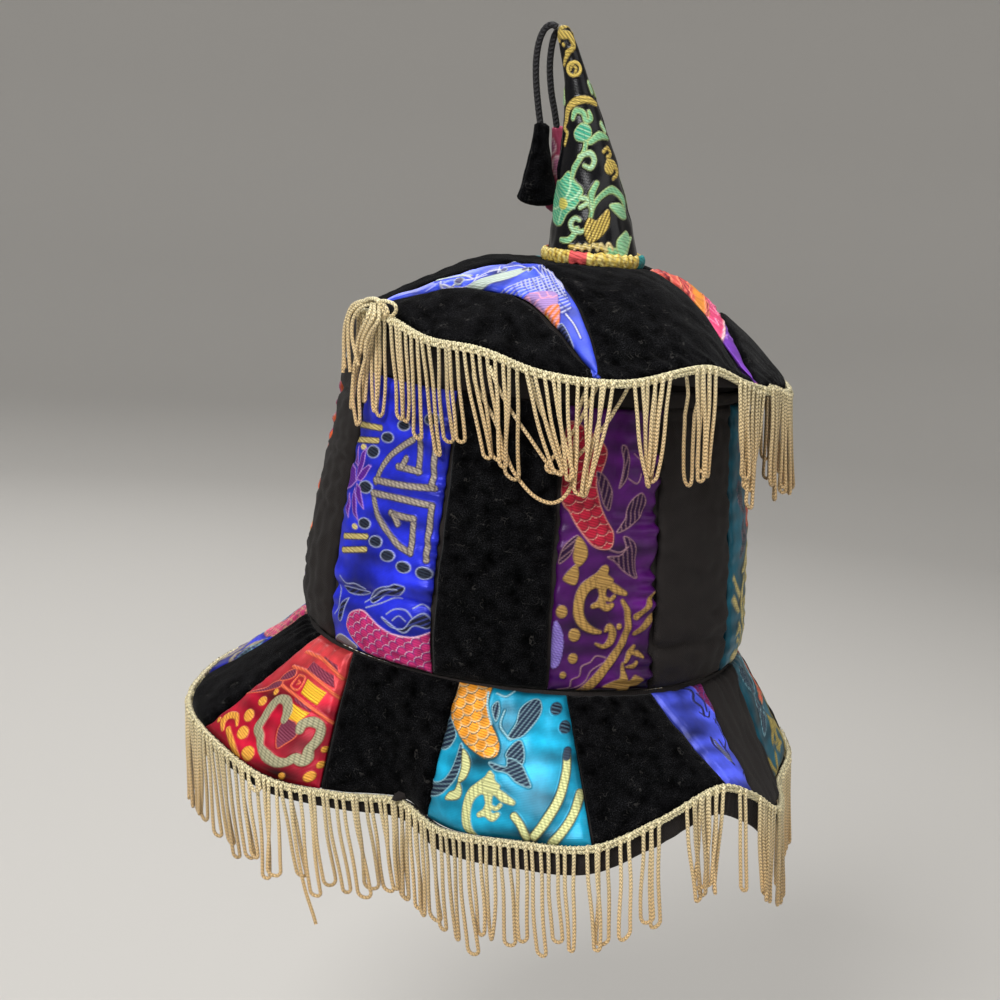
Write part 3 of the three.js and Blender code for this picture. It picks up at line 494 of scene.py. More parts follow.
def carp_pattern(w, koi, gold, flip=1):
    """A carp that dives between hooked scrolls, bars and dots."""
    w.x = w.x * flip
    edge, dark = srgb(146, 110, 118), np.array(w.tint[0, 0]) * 0.5
    gold_stripe, gold_dim, gold_edge = (np.array(gold) * share for share in (0.35, 0.4, 0.6))
    w.scales(
        w.area("-22,110 -12,108 -4,101 -6,92 -8,88 -6,80 -3,74 0.4,68 0,62.5 -3,61 -8,62.5 -14,69 -18,75 -22,82"),
        koi, srgb(206, 136, 124), srgb(104, 8, 38), 4.9, 200,
    )
    for fin, turn in (
        ("-14,66 -15.6,61 -17,57.5 -21,54 -20,60 -17,64", 60),
        ("2,68 6,73.5 7.5,80 12.6,84 15.4,80.5 13,74.5 8,70.5", 100),
        ("5,66.5 9.6,64 10.8,57 12.2,49.4 7,51.6 2,56 -1.4,58 3.5,58.6 6,62", 120),
        ("-8,92 -4,90 -1,84 -1.4,77 -4,79 -6,84", 95), ("2,86 4,95 3,103 6,101 6,92", 90),
    ):
        w.striped(w.area(fin), dark, edge, turn + 75, 2.0, edge, 0.2, 0.18)
    hooked_scroll(w, gold, 0, 54, 1)
    strokes = (
        ("6,40 8.4,35 8.8,28 6,20 0,11.5 -5,4.5 -9,-1", [1.4, 2.4, 2.8, 3, 3.2, 4, 4.6]),
        ("-4.2,22 -1,20.8 1.6,22.6 2.6,26 1,29.4 -0.6,27.6", [0.6, 1.6, 2.8, 3, 2.4, 1]),
        ("12.8,33.4 16.4,36.4 20.4,42.6", [2.8, 2.4, 1.6]), ("12.8,26.2 16,28.6 20.4,33", [2, 3, 2.6]),
        ("8.6,14 11,17.6 12.6,20.4", [0.8, 2.2, 1.6]), ("11.4,18 14.6,17.4 17,16", [0.8, 2.2, 1]),
        ("9.6,12 12.4,12.4 13.6,14", [0.8, 2, 1]),
    )
    for line, width in strokes:
        w.striped(w.line(line, width), gold, gold_stripe, 12, 2.1, gold_edge, 0.5, 0.22)
    for outline in (
        "-14,65.5 -10.6,62 -10,57.5 -13,53.6 -15.4,57.5", "-14,54 -17.4,50.6 -18.6,47.6 -14,46 -12.8,50",
        "0,3.4 4,6.2 6.6,8 7.4,14 9,9.8 10.4,6.4 13,8.6 17.4,6.2 15.4,4 11.6,3.2 11.6,-0.4 8,-1 6.4,2.4 3.4,3",
    ):
        w.striped(w.area(outline), gold, gold_dim, 80, 1.7, gold_edge, 0.5, 0.24)
    for x, y, wide in (
        (-18.4, 34.6, 4.4), (-13, 25.4, 4.6), (-13, 15.4, 3.8), (-16.6, 8, 2.6), (5, 29.4, 2.2), (-2, 52.6, 3.4),
    ):
        w.striped(w.dot(x, y, wide, wide * 1.2), gold, gold_dim, 75, 1.5, rise=0.5, share=0.26)
    cloud = "-18,1 -13.6,2.4 -13,6 -10,8 -9.4,12 -6,14 -3.6,16.6 0.4,16"
    w.lay(w.line(cloud, 0.55), edge, 0.3)
    for line in (
        "-16.6,0.6 -11,2.6 -7.4,6 -5.4,10.4 -1,13.6", "-15,0 -10,-0.6 -8,3", "-1,61 3.4,60 7,62.4",
        "6,90 10,88 12.4,92", "9,100 13,97 16,101",
    ):
        w.lay(w.line(line, 0.5), edge, 0.3)
    w.striped(w.area("-21,30 -17.6,26 -17.2,18 -18.6,12 -22,12"), srgb(118, 92, 180), srgb(160, 146, 214), 35, 1.2)
    w.x = w.x * flip


def trefoil_pattern(w, gold):
    """Key-fret bands over a clouded trefoil with a leaf, dots and a hooked scroll."""
    warm, maroon, stone = srgb(236, 112, 74), srgb(110, 30, 58), srgb(166, 160, 128)
    # Painted highlight: the ground blends to coral pink towards the upper part of the gore.
    low = np.clip((w.y - 30) / 40 + 0.12 * swell(w.x, w.y, 30, 5), 0, 0.62)
    w.tint += (np.array(srgb(244, 84, 84)) - w.tint) * low[..., None]
    for block in ("0,51.4 14,50 17.4,45 8,46.4 0,47", "3,35.6 14,34 14,31.8 4,33", "3,56 13,54.6 15,52 4,53.6"):
        w.striped(w.area(block, True), maroon, srgb(176, 84, 104), 62, 1.1)
    for block in ("3.6,43.8 15.6,41.8 14.8,35.4 4.6,37.4", "4,31.8 14,31 11.8,24.6 7,25"):
        w.striped(w.area(block, True), srgb(246, 196, 50), srgb(206, 140, 30), 80, 1.3)
    for line, width in (
        ("-10,44.6 0,46.4 9,45.4 17,43 25,40", 1.3), ("-9,35.4 4,35.2 14,33.4 26,29.6", 1.3),
        ("-10,53 3,54.4 12,52.4 18,50", 1.5), ("-3,43.2 1.8,43.6 2,37.8 -3.4,37.6 -3,43.2", 0.9),
        ("-1,41.2 0.6,40.6 -0.6,39.6", 0.9),
    ):
        w.lay(w.line(line, width), warm, 0.4)
    for leaf in (
        "-27,22.2 -21,24.6 -14,29.6 -8,34 -9,37 -13,34.4 -17,29.6 -21.6,25.4",
        "-11,36.6 -10.2,41.6 -7,44.6 -5,42 -7.4,38.4",
        "5.4,24.6 10,25.4 12.4,24.4 14.6,20 11.8,15 9.8,12.2 7,15 4.6,20",
    ):
        w.striped(w.area(leaf), maroon, srgb(146, 76, 96), 75, 1.2, warm)
    cloud = (
        "5,24 4.4,28 0.6,31.2 -3.6,30 -5.2,25 -4.8,19.4 -4.6,15 -1,12.8 2,9.4 7,7.4 12.6,6.8 17,8.2 19.6,11 23.2,10 "
        "24.4,12 22.8,16 23.8,21 22,26.6 17.4,28 14.4,25.6 14.8,22.6"
    )
    w.striped(
        w.line(cloud, [3.4, 5.2, 4.6, 3.8, 4.6, 3.8, 4.8, 4.4] * 2 + [4.6, 3.8, 4.8, 4.4, 3.4]), stone,
        srgb(112, 110, 84), 20, 2.2, rise=0.5, share=0.2,
    )
    w.striped(
        w.line("-16,10 -20,12.6 -24.6,11 -25.6,7.4 -22.4,4.6", [1, 2.8, 3.8, 3.4, 1.6]), gold, srgb(190, 110, 30), 50,
        1.8, rise=0.5,
    )
    w.striped(w.line("-19.4,6.2 -13,3.4 -7,0", [2.6, 3, 3.4]), gold, srgb(190, 110, 30), 50, 1.8, rise=0.5)
    for x, y, wide in (
        (-12, 25, 4.4), (-8, 31.6, 2.8), (-13.2, 16.6, 5.4), (-10.6, 9.4, 5.8), (-2, 4, 6.4), (29.4, 4.6, 5),
        (31, 10.6, 3.4), (29, 17.6, 3), (-29, 6.4, 2.4), (18, 2, 3),
    ):
        w.striped(w.dot(x, y, wide), gold, srgb(196, 128, 40), 85, 1.4, rise=0.45)


def diving_carp_pattern(w, koi, leaf, flip=1):
    """A carp that dives into a gore, with striped fins, pale scrolls and two long bars."""
    w.x = w.x * flip
    white = srgb(150, 196, 208)
    shade = np.clip(0.28 * swell(w.x, w.y, 26, 21) + 0.1, 0, 0.5)
    w.tint *= 1 - shade[..., None] * 0.6
    w.scales(
        w.area(
            "-25,64 -9.6,64 -9,52 -6,45 -3,40.4 -1,36 -1.6,32 -6,30.6 -12,33 -17,36 -21,40 -25.6,45.6 -26,50 -24,56"
        ),
        koi, srgb(62, 84, 78), srgb(232, 200, 150), 5, 210,
    )
    for fin, turn in (
        ("-26,45 -29,39.6 -32.6,31.6 -27,31.4 -22.6,35.6 -21.6,39.6", 35), ("-7,51.6 -5,54.6 -3.6,50 -4.6,46.2", 95),
        ("1.6,39.6 4,46 4.6,52 8,56 11.6,56.6 13.2,52 11,46 7,40.4", 70),
        ("2,32.6 4,37 7,38.8 9.2,34.4 9,29.6 4.6,30.4", 60),
        ("-4.6,29.4 -1.6,26.4 3.6,25.4 8,22 13.6,20.8 11,26 8,30 3,31.4 2.6,28", 40),
        ("-18.6,35.6 -17,30 -18.6,23 -23,17.4 -28,13 -34,10.4 -38,9 -38,16 -31,17 -25.6,20 -21.4,26", 25),
    ):
        w.striped(w.area(fin), srgb(22, 40, 66), srgb(110, 140, 150), turn + 80, 1.7, white, share=0.3)
    for line in ("-1.6,51 -2.4,45 0.6,41 3,39", "-6,58 -2,57 1,60", "-9.6,58 -9,52 -6,45"):
        w.lay(w.line(line, 0.8), white, 0.4)
    dim = np.array(leaf) * 0.62
    for outline in (
        "-17.4,33.4 -14,30.6 -13,26.4 -14.6,22 -18.4,20 -17,26",
        "-18,20 -16.2,16.4 -18,13.2 -24.6,12 -23,15 -20,16.6",
    ):
        w.striped(w.area(outline), leaf, dim, 85, 1.5, OLIVE, 0.5)
    for line, width in (
        ("25.8,35 26.4,27 25,17 21,8 17,2", [2.6, 3.2, 3.4, 3.6, 3]),
        ("33,20 31.4,12 27.6,4.6 24,0", 3.4), ("8.4,9 11.6,5.6 14,1.4", 3),
    ):
        w.striped(w.line(line, width), leaf, dim, 20, 1.6, OLIVE, 0.5)
    hooked_scroll(w, leaf, -0.4, 26, 1.08)
    w.lay(w.line("25.8,36.6 25.8,33.6", 3), SLATE, 0.5)
    for x, y in ((19, 53.4), (23.6, 46)):
        w.striped(w.dot(x, y, 4.4, 5.2), NAVY, srgb(80, 120, 140), 80, 1.6, SLATE)
    w.x = w.x * flip


def narrow_pattern(w):
    """A narrow gore: one corner of scales, dark leaf lines and clouds."""
    w.scales(
        w.area("8,60 7,50 9,43 14,37 20,35 24,60"), srgb(142, 40, 108), srgb(120, 100, 190), srgb(70, 20, 90), 4.2,
        50,
    )
    for line, width in (("2,54 4,50 2,46 4.6,42 3,38", 1.4), ("6,49 8,45 6.4,40", 1.1), ("1.6,40 5,37 8,39.6", 0.9),
                        ("-2,26 -3,22 0,16 2,12", 1.6), ("3,25 3.4,19 2,14", 1.3), ("8,34 12,36.4 17,35", 0.9),
                        ("4,21 8,25 9,31 8.6,36", 0.9), ("8,12 12,18 18,22", 1.2), ("6,8 12,13 18,17", 1.0)):
        w.lay(w.line(line, width), srgb(44, 44, 92), 0.35)
    w.striped(w.area("-1.6,24 0,25 2.4,18 2,13 -0.6,15"), srgb(120, 122, 150), srgb(60, 62, 110), 75, 1.3)


def crown_pattern(w, warm):
    """A crescent of the dome: wide pale scrolls, hatched bands and bright stripes."""
    if warm:
        bend = w.y - 0.005 * w.x**2
        for low, high, colour in (
            (40.5, 60, srgb(126, 66, 186)), (31, 40.5, srgb(232, 80, 128)), (25.6, 31, srgb(240, 150, 60)),
            (-8, 25.6, srgb(226, 96, 84)),
        ):
            cover = np.clip(np.minimum(bend - low, high - bend) / 1.2 + 0.5 + 0.4 * swell(w.x, w.y, 12, 31), 0, 1)
            w.tint += (np.array(colour) - w.tint) * cover[..., None]
        w.lay(0.5 - np.abs(bend - 40.6), srgb(250, 206, 206), 0.4)
        for low, high, pitch in ((20, 24.4, 2.2), (9, 16, 3), (31.2, 32.6, 2)):
            band = np.minimum(bend - low, high - bend)
            w.lay(np.minimum(band, w.hatch(70, pitch, 0.4)), srgb(120, 20, 44), 0.4)
            w.lay(0.3 - np.abs(band), srgb(250, 150, 110), 0.4)
        for x in (-40, -26, -12, 2, 16, 30, 44):
            y = 36 + 0.005 * x * x
            w.lay(
                w.line(((x - 4, y - 2), (x - 1, y + 2), (x + 2, y - 1), (x + 5, y + 1.6)), 0.7), srgb(250, 150, 180),
                0.4,
            )
            w.lay(w.line(((x - 5, y + 8), (x, y + 6.4), (x + 5, y + 9)), 0.8), srgb(170, 120, 214), 0.4)
        return
    pale, lilac = srgb(196, 208, 200), srgb(170, 136, 196)
    veil = w.area("-3,45 3,38 12,30 18,25 8,14 16,13 28,21 36,33 40,44 30,46 14,46")
    w.lay(np.minimum(veil, np.minimum(w.hatch(52, 2.0, 0.36), w.y - 31 + 0.3 * w.x)), srgb(196, 198, 228), 0.35)
    w.lay(np.minimum(veil, np.minimum(w.hatch(-38, 2.1, 0.4), 36 - w.y)), srgb(186, 188, 226), 0.35)
    w.lay(np.minimum(veil, w.hatch(-50, 4.6, 0.1)), srgb(50, 56, 120), 0.3)
    w.lay(w.area("13,43.6 19,47 27,49 33,49 33,38 29,34.6 20,37.6"), lilac, 0.4)
    for line in (
        "14,43 18,41 21,44 24,41.6", "18,39 22,38 25,40.6 29,38", "20,46.6 24,44.6 28,47", "26,36 29,39 32,37",
    ):
        w.lay(w.line(line, 0.8), srgb(228, 160, 190), 0.5)
    w.striped(
        w.area("20,47 26,47 30,43.6 34.6,43 35.4,56 29,51.6"), srgb(216, 150, 160), srgb(232, 116, 40), 30, 2.3,
        rise=0.45, share=0.5,
    )
    w.striped(
        w.area("26,48.4 29.6,47.4 31.6,51 28.6,51.6"), srgb(244, 216, 120), srgb(210, 120, 60), 60, 1.5, rise=0.5,
    )
    w.striped(w.area("34.6,54.6 40,58.6 42.4,60 40,54.6 36.6,50.4"), NAVY, srgb(70, 80, 140), 60, 1.7, PALE)
    for line, width in (
        ("-18,45 -13,39 -5,31.6 2,25.6 5,22.4", [3, 6, 7, 7, 4]), ("-36,14.6 -24,14 -14,16", [3.4, 3, 1.4]),
        ("-38,43 -28,38 -22,36", [2.6, 2.2, 1.4]),
    ):
        w.striped(w.line(line, width), pale, srgb(160, 178, 158), 52, 1.5, srgb(120, 120, 140), 0.5)
    w.striped(w.area("5,20.6 8,24.6 9.6,23.6 8.4,20.4"), NAVY, SLATE, 60, 1.6, PALE)
    for line in (
        "-30,46 -22,44 -17,39 -20,34", "-26,42 -20,38 -16,32 -12,27 -8,25", "-12,24 -6,20.6 2,20 8,23.6",
        "-18,22 -13,26 -8,27.6", "-34,44 -28,47 -24,43 -27,40", "-22,47 -17,46 -13,43", "-30,36 -20,37 -14,33",
        "-16,30 -13,27 -10,29", "10,14 18,18 27,24 34,31", "6,18 14,22 20,27", "38,46 42,50 45,56",
    ):
        w.lay(w.line(line, 0.8), srgb(206, 206, 222), 0.4)
    for x, y, wide in ((-24, 41, 5), (-9, 26, 4.4), (4, 22.4, 5)):
        w.striped(w.dot(x, y, wide, wide * 0.8, 30), srgb(70, 66, 110), srgb(120, 116, 150), 70, 1.4, pale)


def vine_pattern(w):
    """A climbing vine with flowers, leaves and gold scrolls, up the front and back of the spire."""
    green, mint, jade = srgb(134, 196, 146), srgb(170, 214, 172), srgb(44, 160, 128)
    gold, dim, hem = srgb(224, 196, 100), srgb(92, 70, 24), srgb(176, 196, 128)
    flower = "-19,37 -13.6,38 -9,41.4 -6,37 -2.8,33 -5.4,27.6 -11,23.4 -15,18.8 -21,20 -24.4,25 -22.4,31"
    w.striped(w.area(flower), jade, green, 48, 1.9, hem, 0.5, 0.5)
    for petal in (
        "-13,28 -9,33 -8,39", "-13,28 -7,30 -4,33", "-13,28 -18,32 -19,36", "-13,28 -19,26 -23,26",
        "-13,28 -15,23 -16,20", "-13,28 -9,26 -7,26",
    ):
        w.lay(w.line(petal, 1), mint, 0.6)
    w.striped(w.dot(-13, 28, 6, 5), srgb(206, 206, 96), gold, 30, 1.3, rise=0.7)
    for line, width, colour in (
        ("-4.4,63.6 -2.6,66.6 0.4,65.4 1.2,62 3.4,62.4 3,65.4", [1.6, 2.2, 2, 1.8, 2, 1.2], green),
        ("0.4,54.4 -0.6,50 -3,46.4 -6,42.6 -7.4,38.6", [1.4, 1.6, 2, 2.4, 1.2], green),
        ("-3,47.4 1.4,48.4 3.2,45.4 1.4,42.2 -1.4,43.4", [1.8, 2.2, 2, 1.7, 1.4], mint),
        ("2,52.8 7,55.2 12.4,53.6", [2, 3.4, 1.2], green),
        ("0,22 1.4,26 5,30 11,32.4 16.6,28.6 18.4,23", [1.4, 1.6, 2.2, 3, 3, 1.6], green),
        ("1,27 0.8,31 3.4,35.6", [1.6, 2.6, 2], green), ("-3.6,30 -1,29 0.4,25", [2, 1.6, 1.4], mint),
        ("-4.4,26 -1.4,27.4", 1.6, mint), ("-6.6,17 -8.6,14 -11,12.2 -14.6,12.4", [2.2, 2.2, 2.4, 1.8], green),
        ("-5,20.6 -7,21.6 -9.4,19.6 -8.4,16.6 -5,15.6 -3.4,16.4", [1.4, 1.8, 2, 2, 2, 1], mint),
        ("13,4.6 17,8 21,11.6", [1.8, 1.8, 1.2], mint), ("6.6,8 10,7.6 12.4,6.4", [2.6, 2, 1.4], green),
        ("9,60 11,57", 2, mint), ("6,77 7,73", 2, mint), ("-8,76 -9,71", [1, 2.4], mint),
    ):
        w.striped(w.line(line, width), colour, np.array(colour) * 0.5, 35, 1.7, hem, 0.5, 0.26)
    for outline, colour in (
        ("9,26 14,26.4 18,23.4 19.4,20 15,20 11,23", green), ("11,9 12.4,12.4 18,14.6 20,11 17,8 13,6", green),
        ("-4.4,57.6 -1,61 2.4,59.6 3,56 0,53.6 -3.6,54.4", jade),
    ):
        w.striped(w.area(outline), colour, mint, 60, 1.8, hem, 0.5)
    flame = w.area("-1.4,11 -3.2,16 -1,21.4 2,20 4,21.4 8.2,24.4 8.2,18 5,14 1,11.4")
    w.striped(flame, gold, dim, -28, 1.4, rise=0.55, share=0.45)
    for line, width in (
        ("-8.4,63.6 -6.4,67.8 -2,70.4 3,70.4 7.6,68", [2.4, 2.8, 3.2, 3, 2]),
        ("-8.6,63 -10.4,60 -8.6,57.4 -10.6,53", [2.2, 1.8, 1.6, 1.4]), ("0,91 -2.4,88.6 -4.4,86", [2, 1.6, 1]),
        ("-2,99 0.4,98 2.6,96 2,92 -1.4,90.6", [2, 2.4, 2, 2.2, 1.6]), ("-1.6,83.6 -0.4,85 1,83.6 0,82", 1),
        ("8,48.4 11,49.6 13,47 10,46", 1.6), ("10,44 14,42.6 16,39 12,37", [2.6, 3.6, 2, 1.6]),
        ("-10,9.6 -4,9.2 2,9.8 6,8", 1.6),
    ):
        w.striped(w.line(line, width), gold, dim, 75, 1.3, rise=0.55, share=0.36)
    for line, width in (
        ("-3,101 -1.6,98 1.6,97 2.6,93.4", [2.4, 3.2, 3, 2]), ("-6,99 -3.6,96", 1.6), ("-12,100 0,101.4 12,100", 2.6),
    ):
        w.striped(w.line(line, width), gold, dim, 20, 1.2, rise=0.5, share=0.36)
    for x in (-8, -4.6, -1.2, 2.2, 5.6):
        w.lay(w.line(((x, 8.2), (x + 1.6, 10.4), (x + 3.2, 8.4)), 1), srgb(206, 188, 130), 0.5)
    rose = w.dot(0, 83.6, 7.2, 6.6)
    w.lay(0.6 - np.abs(rose - 0.6), gold, 0.55)
    for x, y, wide in ((10.4, 41.6, 5.6), (-2, 94, 1.6)):
        w.striped(w.dot(x, y, wide), gold, dim, 30, 1.4, rise=0.5)


# Meshes
def grid_faces(rows, columns, wrap=False):
    """The faces of a grid of points, with its last column joined to its first if it wraps."""
    i, j = np.meshgrid(np.arange(columns if wrap else columns - 1), np.arange(rows - 1))
    n = (i + 1) % columns
    faces = [j * columns + i, j * columns + n, (j + 1) * columns + n, (j + 1) * columns + i]
    return np.stack(faces, -1).reshape(-1, 4)


def make(name, points, faces, material, nodes=(), lay=None, corners=None, tint=None, thread=None):
    """A piece from points in millimetres. lay is each point's place on the flat cloth, in millimetres."""
    mesh = bpy.data.meshes.new(name)
    faces = faces if isinstance(faces, list) else faces.tolist()
    mesh.from_pydata((np.asarray(points).reshape(-1, 3) * MM).tolist(), [], faces)
    mesh.polygons.foreach_set("use_smooth", np.ones(len(mesh.polygons), bool))
    if lay is not None or corners is not None:
        index = np.empty(len(mesh.loops), np.int32)
        mesh.loops.foreach_get("vertex_index", index)
        flat = np.asarray(lay).reshape(-1, 2)[index] if corners is None else np.asarray(corners).reshape(-1, 2)
        mesh.uv_layers.new(name="Lay").data.foreach_set("uv", (flat / LAY_UNIT).astype(np.float32).ravel())
    if tint is not None:
        colours = np.ones((len(mesh.vertices), 4), np.float32)
        colours[:, :3] = np.asarray(tint).reshape(-1, 3)
        mesh.attributes.new("tint", "FLOAT_COLOR", "POINT").data.foreach_set("color", colours.ravel())
    if thread is not None:
        threads = np.asarray(thread, np.float32).ravel()
        mesh.attributes.new("thread", "FLOAT", "POINT").data.foreach_set("value", threads)
    mesh.materials.append(bpy.data.materials[material])
    mesh.update()
    piece = bpy.data.objects.new(name, mesh)
    bpy.context.scene.collection.objects.link(piece)
    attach(piece, "root")
    if nodes:
        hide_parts(*nodes)
    return piece


def cloth_patch(name, node, material, point, chart, away, pitch, relief, paint=None, ground=(0, 0, 0)):
    """A patch of face cloth over point(u, v), with its edges tucked into the seams and turned in."""
    u, v = np.meshgrid(np.linspace(0, 1, 9), np.linspace(0, 1, 9))
    rough = point(u, v)
    wide, high = (np.linalg.norm(np.diff(rough, axis=k), axis=-1).sum(k).max() for k in (1, 0))
    columns, rows = max(int(wide / pitch), 8) + 1, max(int(high / pitch), 8) + 1
    u, v = np.meshgrid(np.linspace(0, 1, columns), np.linspace(0, 1, rows))
    p = point(u, v)
    along, across = np.gradient(p, axis=1), np.gradient(p, axis=0)
    normal = unit(np.cross(along, across))
    inward = (normal * away(p)).sum(-1).mean() < 0
    normal = -normal if inward else normal
    steps = np.linalg.norm(along, axis=-1).sum(1)[:, None]
    length = np.linalg.norm(across, axis=-1).sum(0)[None, :]
    aside, below = np.minimum(u, 1 - u) * steps, np.minimum(v, 1 - v) * length
    x, y = chart(u, v)
    w = Weaving(x, y, ground)
    if paint:
        # Painted highlights and shade: soft bands of satin lustre painted into the brocade's colour.
        w.tint *= (1 + PAINTED_LUSTRE * swell(x * 0.3, y * 1.2, 13, 55))[..., None]
        paint(w)
    seam = np.minimum(aside, below)
    # Painted shade: the colour darkens towards each seam, as the groove there would be shaded.
    w.tint *= (1 - SEAM_PAINTED_SHADE * np.exp(-seam / SEAM_PAINTED_SHADE_REACH))[..., None]
    rise = relief(u, v, x, y, aside, below) + w.rise - SEAM_DEPTH * np.exp(-((seam / SEAM_REACH) ** 2))
    area = np.linalg.norm(np.cross(along, across), axis=-1).sum()
    p = p + normal * rise[..., None]
    index = np.arange(rows * columns).reshape(rows, columns)
    rim = np.concatenate([index[0, :-1], index[:-1, -1], index[-1, :0:-1], index[:0:-1, 0]])
    flat, lay, tint = p.reshape(-1, 3), np.stack([x, y], -1).reshape(-1, 2), w.tint.reshape(-1, 3)
    inner = rows * columns + np.arange(len(rim))
    hem = np.stack([rim, inner, np.roll(inner, -1), np.roll(rim, -1)], -1)
    faces = np.concatenate([grid_faces(rows, columns), hem])
    if inward:
        faces = faces[:, ::-1]
    piece = make(
        name, np.concatenate([flat, flat[rim] - normal.reshape(-1, 3)[rim] * HEM]), faces, material, (node,),
        np.concatenate([lay, lay[rim]]), None,
        np.concatenate([tint, tint[rim]]) if paint else None,
        np.concatenate([w.thread.ravel(), w.thread.ravel()[rim]]) if paint else None,
    )
    wide, high = wide * SHEET_EASE, high * SHEET_EASE
    area = float(np.clip(area * MM**2, LEAST_SHARE * wide * high * MM**2, wide * high * MM**2))


def tubes(paths, radius, facing, sides=7):
    """Round tubes along paths of shape (count, points, 3): their points, faces and corner places."""
    along = unit(np.gradient(paths, axis=1))
    side = unit(np.cross(along, facing))
    up = np.cross(side, along)
    turn = even_turns(sides)
    ring = side[:, :, None] * np.cos(turn)[:, None] + up[:, :, None] * np.sin(turn)[:, None]
    points = paths[:, :, None] + ring * np.broadcast_to(radius, paths.shape[:2])[..., None, None]
    one = grid_faces(paths.shape[1], sides, True)
    faces = (one[None] + (np.arange(len(paths)) * paths.shape[1] * sides)[:, None, None]).reshape(-1, 4)
    steps = np.linalg.norm(np.diff(paths, axis=1), axis=-1)
    run = np.concatenate([np.zeros((len(paths), 1)), np.cumsum(steps, 1)], 1)
    i, j = np.meshgrid(np.arange(sides), np.arange(paths.shape[1] - 1))
    around = np.stack([i, i + 1, i + 1, i], -1).reshape(-1, 4) / sides * CORD_ROUND
    rows = np.stack([j, j, j + 1, j + 1], -1).reshape(-1, 4)
    corners = np.stack([np.broadcast_to(around, (len(paths), *around.shape)), run[:, rows]], -1)
    return points.reshape(-1, 3), faces, corners.reshape(-1, 2)


# Finishes
class Tree:
    """Short spellings for building the nodes of a material or node group."""

    def __init__(self, tree):
        self.tree = tree

    def node(self, kind, **settings):
        made = self.tree.nodes.new("ShaderNode" + kind)
        for key, value in settings.items():
            setattr(made, key, value)
        return made

    def join(self, socket, value):
        if isinstance(value, bpy.types.NodeSocket):
            self.tree.links.new(value, socket)
        else:
            socket.default_value = value

    def math(self, operation, a, b=0.0, c=0.0, clamp=False):
        made = self.node("Math", operation=operation, use_clamp=clamp)
        for socket, value in zip(made.inputs, (a, b, c)):
            self.join(socket, value)
        return made.outputs[0]

    def times(self, a, b, clamp=False):
        return self.math("MULTIPLY", a, b, clamp=clamp)

    def plus(self, a, b):
        return self.math("ADD", a, b)

    def times_plus(self, a, b, c):
        return self.math("MULTIPLY_ADD", a, b, c)

    def wave(self, value, rate):
        return self.math("SINE", self.times(value, rate))

    def ridges(self, value, rate):
        return self.math("ABSOLUTE", self.wave(value, rate))

    def blend(self, share, a, b):
        made = self.node("Mix", data_type="RGBA", blend_type="MIX")
        for socket, value in zip((made.inputs[0], made.inputs[6], made.inputs[7]), (share, a, b)):
            self.join(socket, value)
        return made.outputs[2]

    def noise(self, vector, scale, detail=2.0):
        made = self.node("TexNoise")
        self.join(made.inputs["Vector"], vector)
        made.inputs["Scale"].default_value, made.inputs["Detail"].default_value = scale, detail
        return made.outputs["Fac"]

    def apart(self, vector):
        made = self.node("SeparateXYZ")
        self.join(made.inputs[0], vector)
        return made.outputs[0], made.outputs[1]

    def place(self):
        """The place on the flat cloth, in millimetres."""
        scaled = self.node("VectorMath", operation="SCALE")
        self.join(scaled.inputs[0], self.node("UVMap", uv_map="Lay").outputs[0])
        scaled.inputs[3].default_value = LAY_UNIT
        return scaled.outputs[0]


def group(name, fitted, outputs=("Shade", "Height")):
    """A new shader node group that takes a place and one number: its tree and the sockets inside it."""
    made = bpy.data.node_groups.new(name, "ShaderNodeTree")
    for label, kind in (("Place", "Vector"), (fitted, "Float")):
        made.interface.new_socket(label, in_out="INPUT", socket_type="NodeSocket" + kind)
    for label in outputs:
        made.interface.new_socket(label, in_out="OUTPUT", socket_type="NodeSocketFloat")
    tree = Tree(made)
    start, end = made.nodes.new("NodeGroupInput"), made.nodes.new("NodeGroupOutput")
    return tree, start.outputs, end.inputs


def threads_group():
    """Ribbed satin ground with painted lustre, and raised threads with fine dark lines between them."""
    t, start, end = group("brocade threads", "Thread")
    x, y = t.apart(start["Place"])
    ridge = t.math("POWER", t.ridges(t.times_plus(x, 0.2, y), math.pi / 1.1), 0.5)
    stitch = t.times(ridge, t.times_plus(t.ridges(x, math.pi / 0.55), 0.3, 0.7))
    rib = t.wave(y, 2 * math.pi / 0.62)
    # Painted highlights and shade: broad lighter and darker patches in the ground stand for light on satin creases.
    cloud = t.noise(start["Place"], 0.16, 4)
    ground = t.plus(t.times(rib, 0.05), t.times_plus(cloud, 1.1, 0.42))
    raised = t.times_plus(stitch, 0.6, 0.56)
    below = t.times(ground, t.math("SUBTRACT", 1.0, start["Thread"]))
    t.join(end["Shade"], t.plus(t.times(raised, start["Thread"]), below))
    t.join(end["Height"], t.plus(t.times(stitch, start["Thread"]), t.times(rib, 0.06)))


def weave_group():
    """Plain weave with slubs, and the shade of crumples painted into its colour as uneven patches."""
    t, start, end = group("plain weave", "Pitch")
    warp, weft = (t.wave(t.math("DIVIDE", side, start["Pitch"]), math.pi) for side in t.apart(start["Place"]))
    slub = t.noise(start["Place"], 1.4, 3)
    # Painted shade: broad darker and lighter patches, as crumples in the cloth would be shaded.
    crumple = t.times_plus(t.noise(start["Place"], 0.09, 2), 0.5, 0.35)
    t.join(end["Shade"], t.times_plus(slub, 0.8, crumple))
    t.join(end["Height"], t.times_plus(t.times(warp, weft), 0.5, slub))


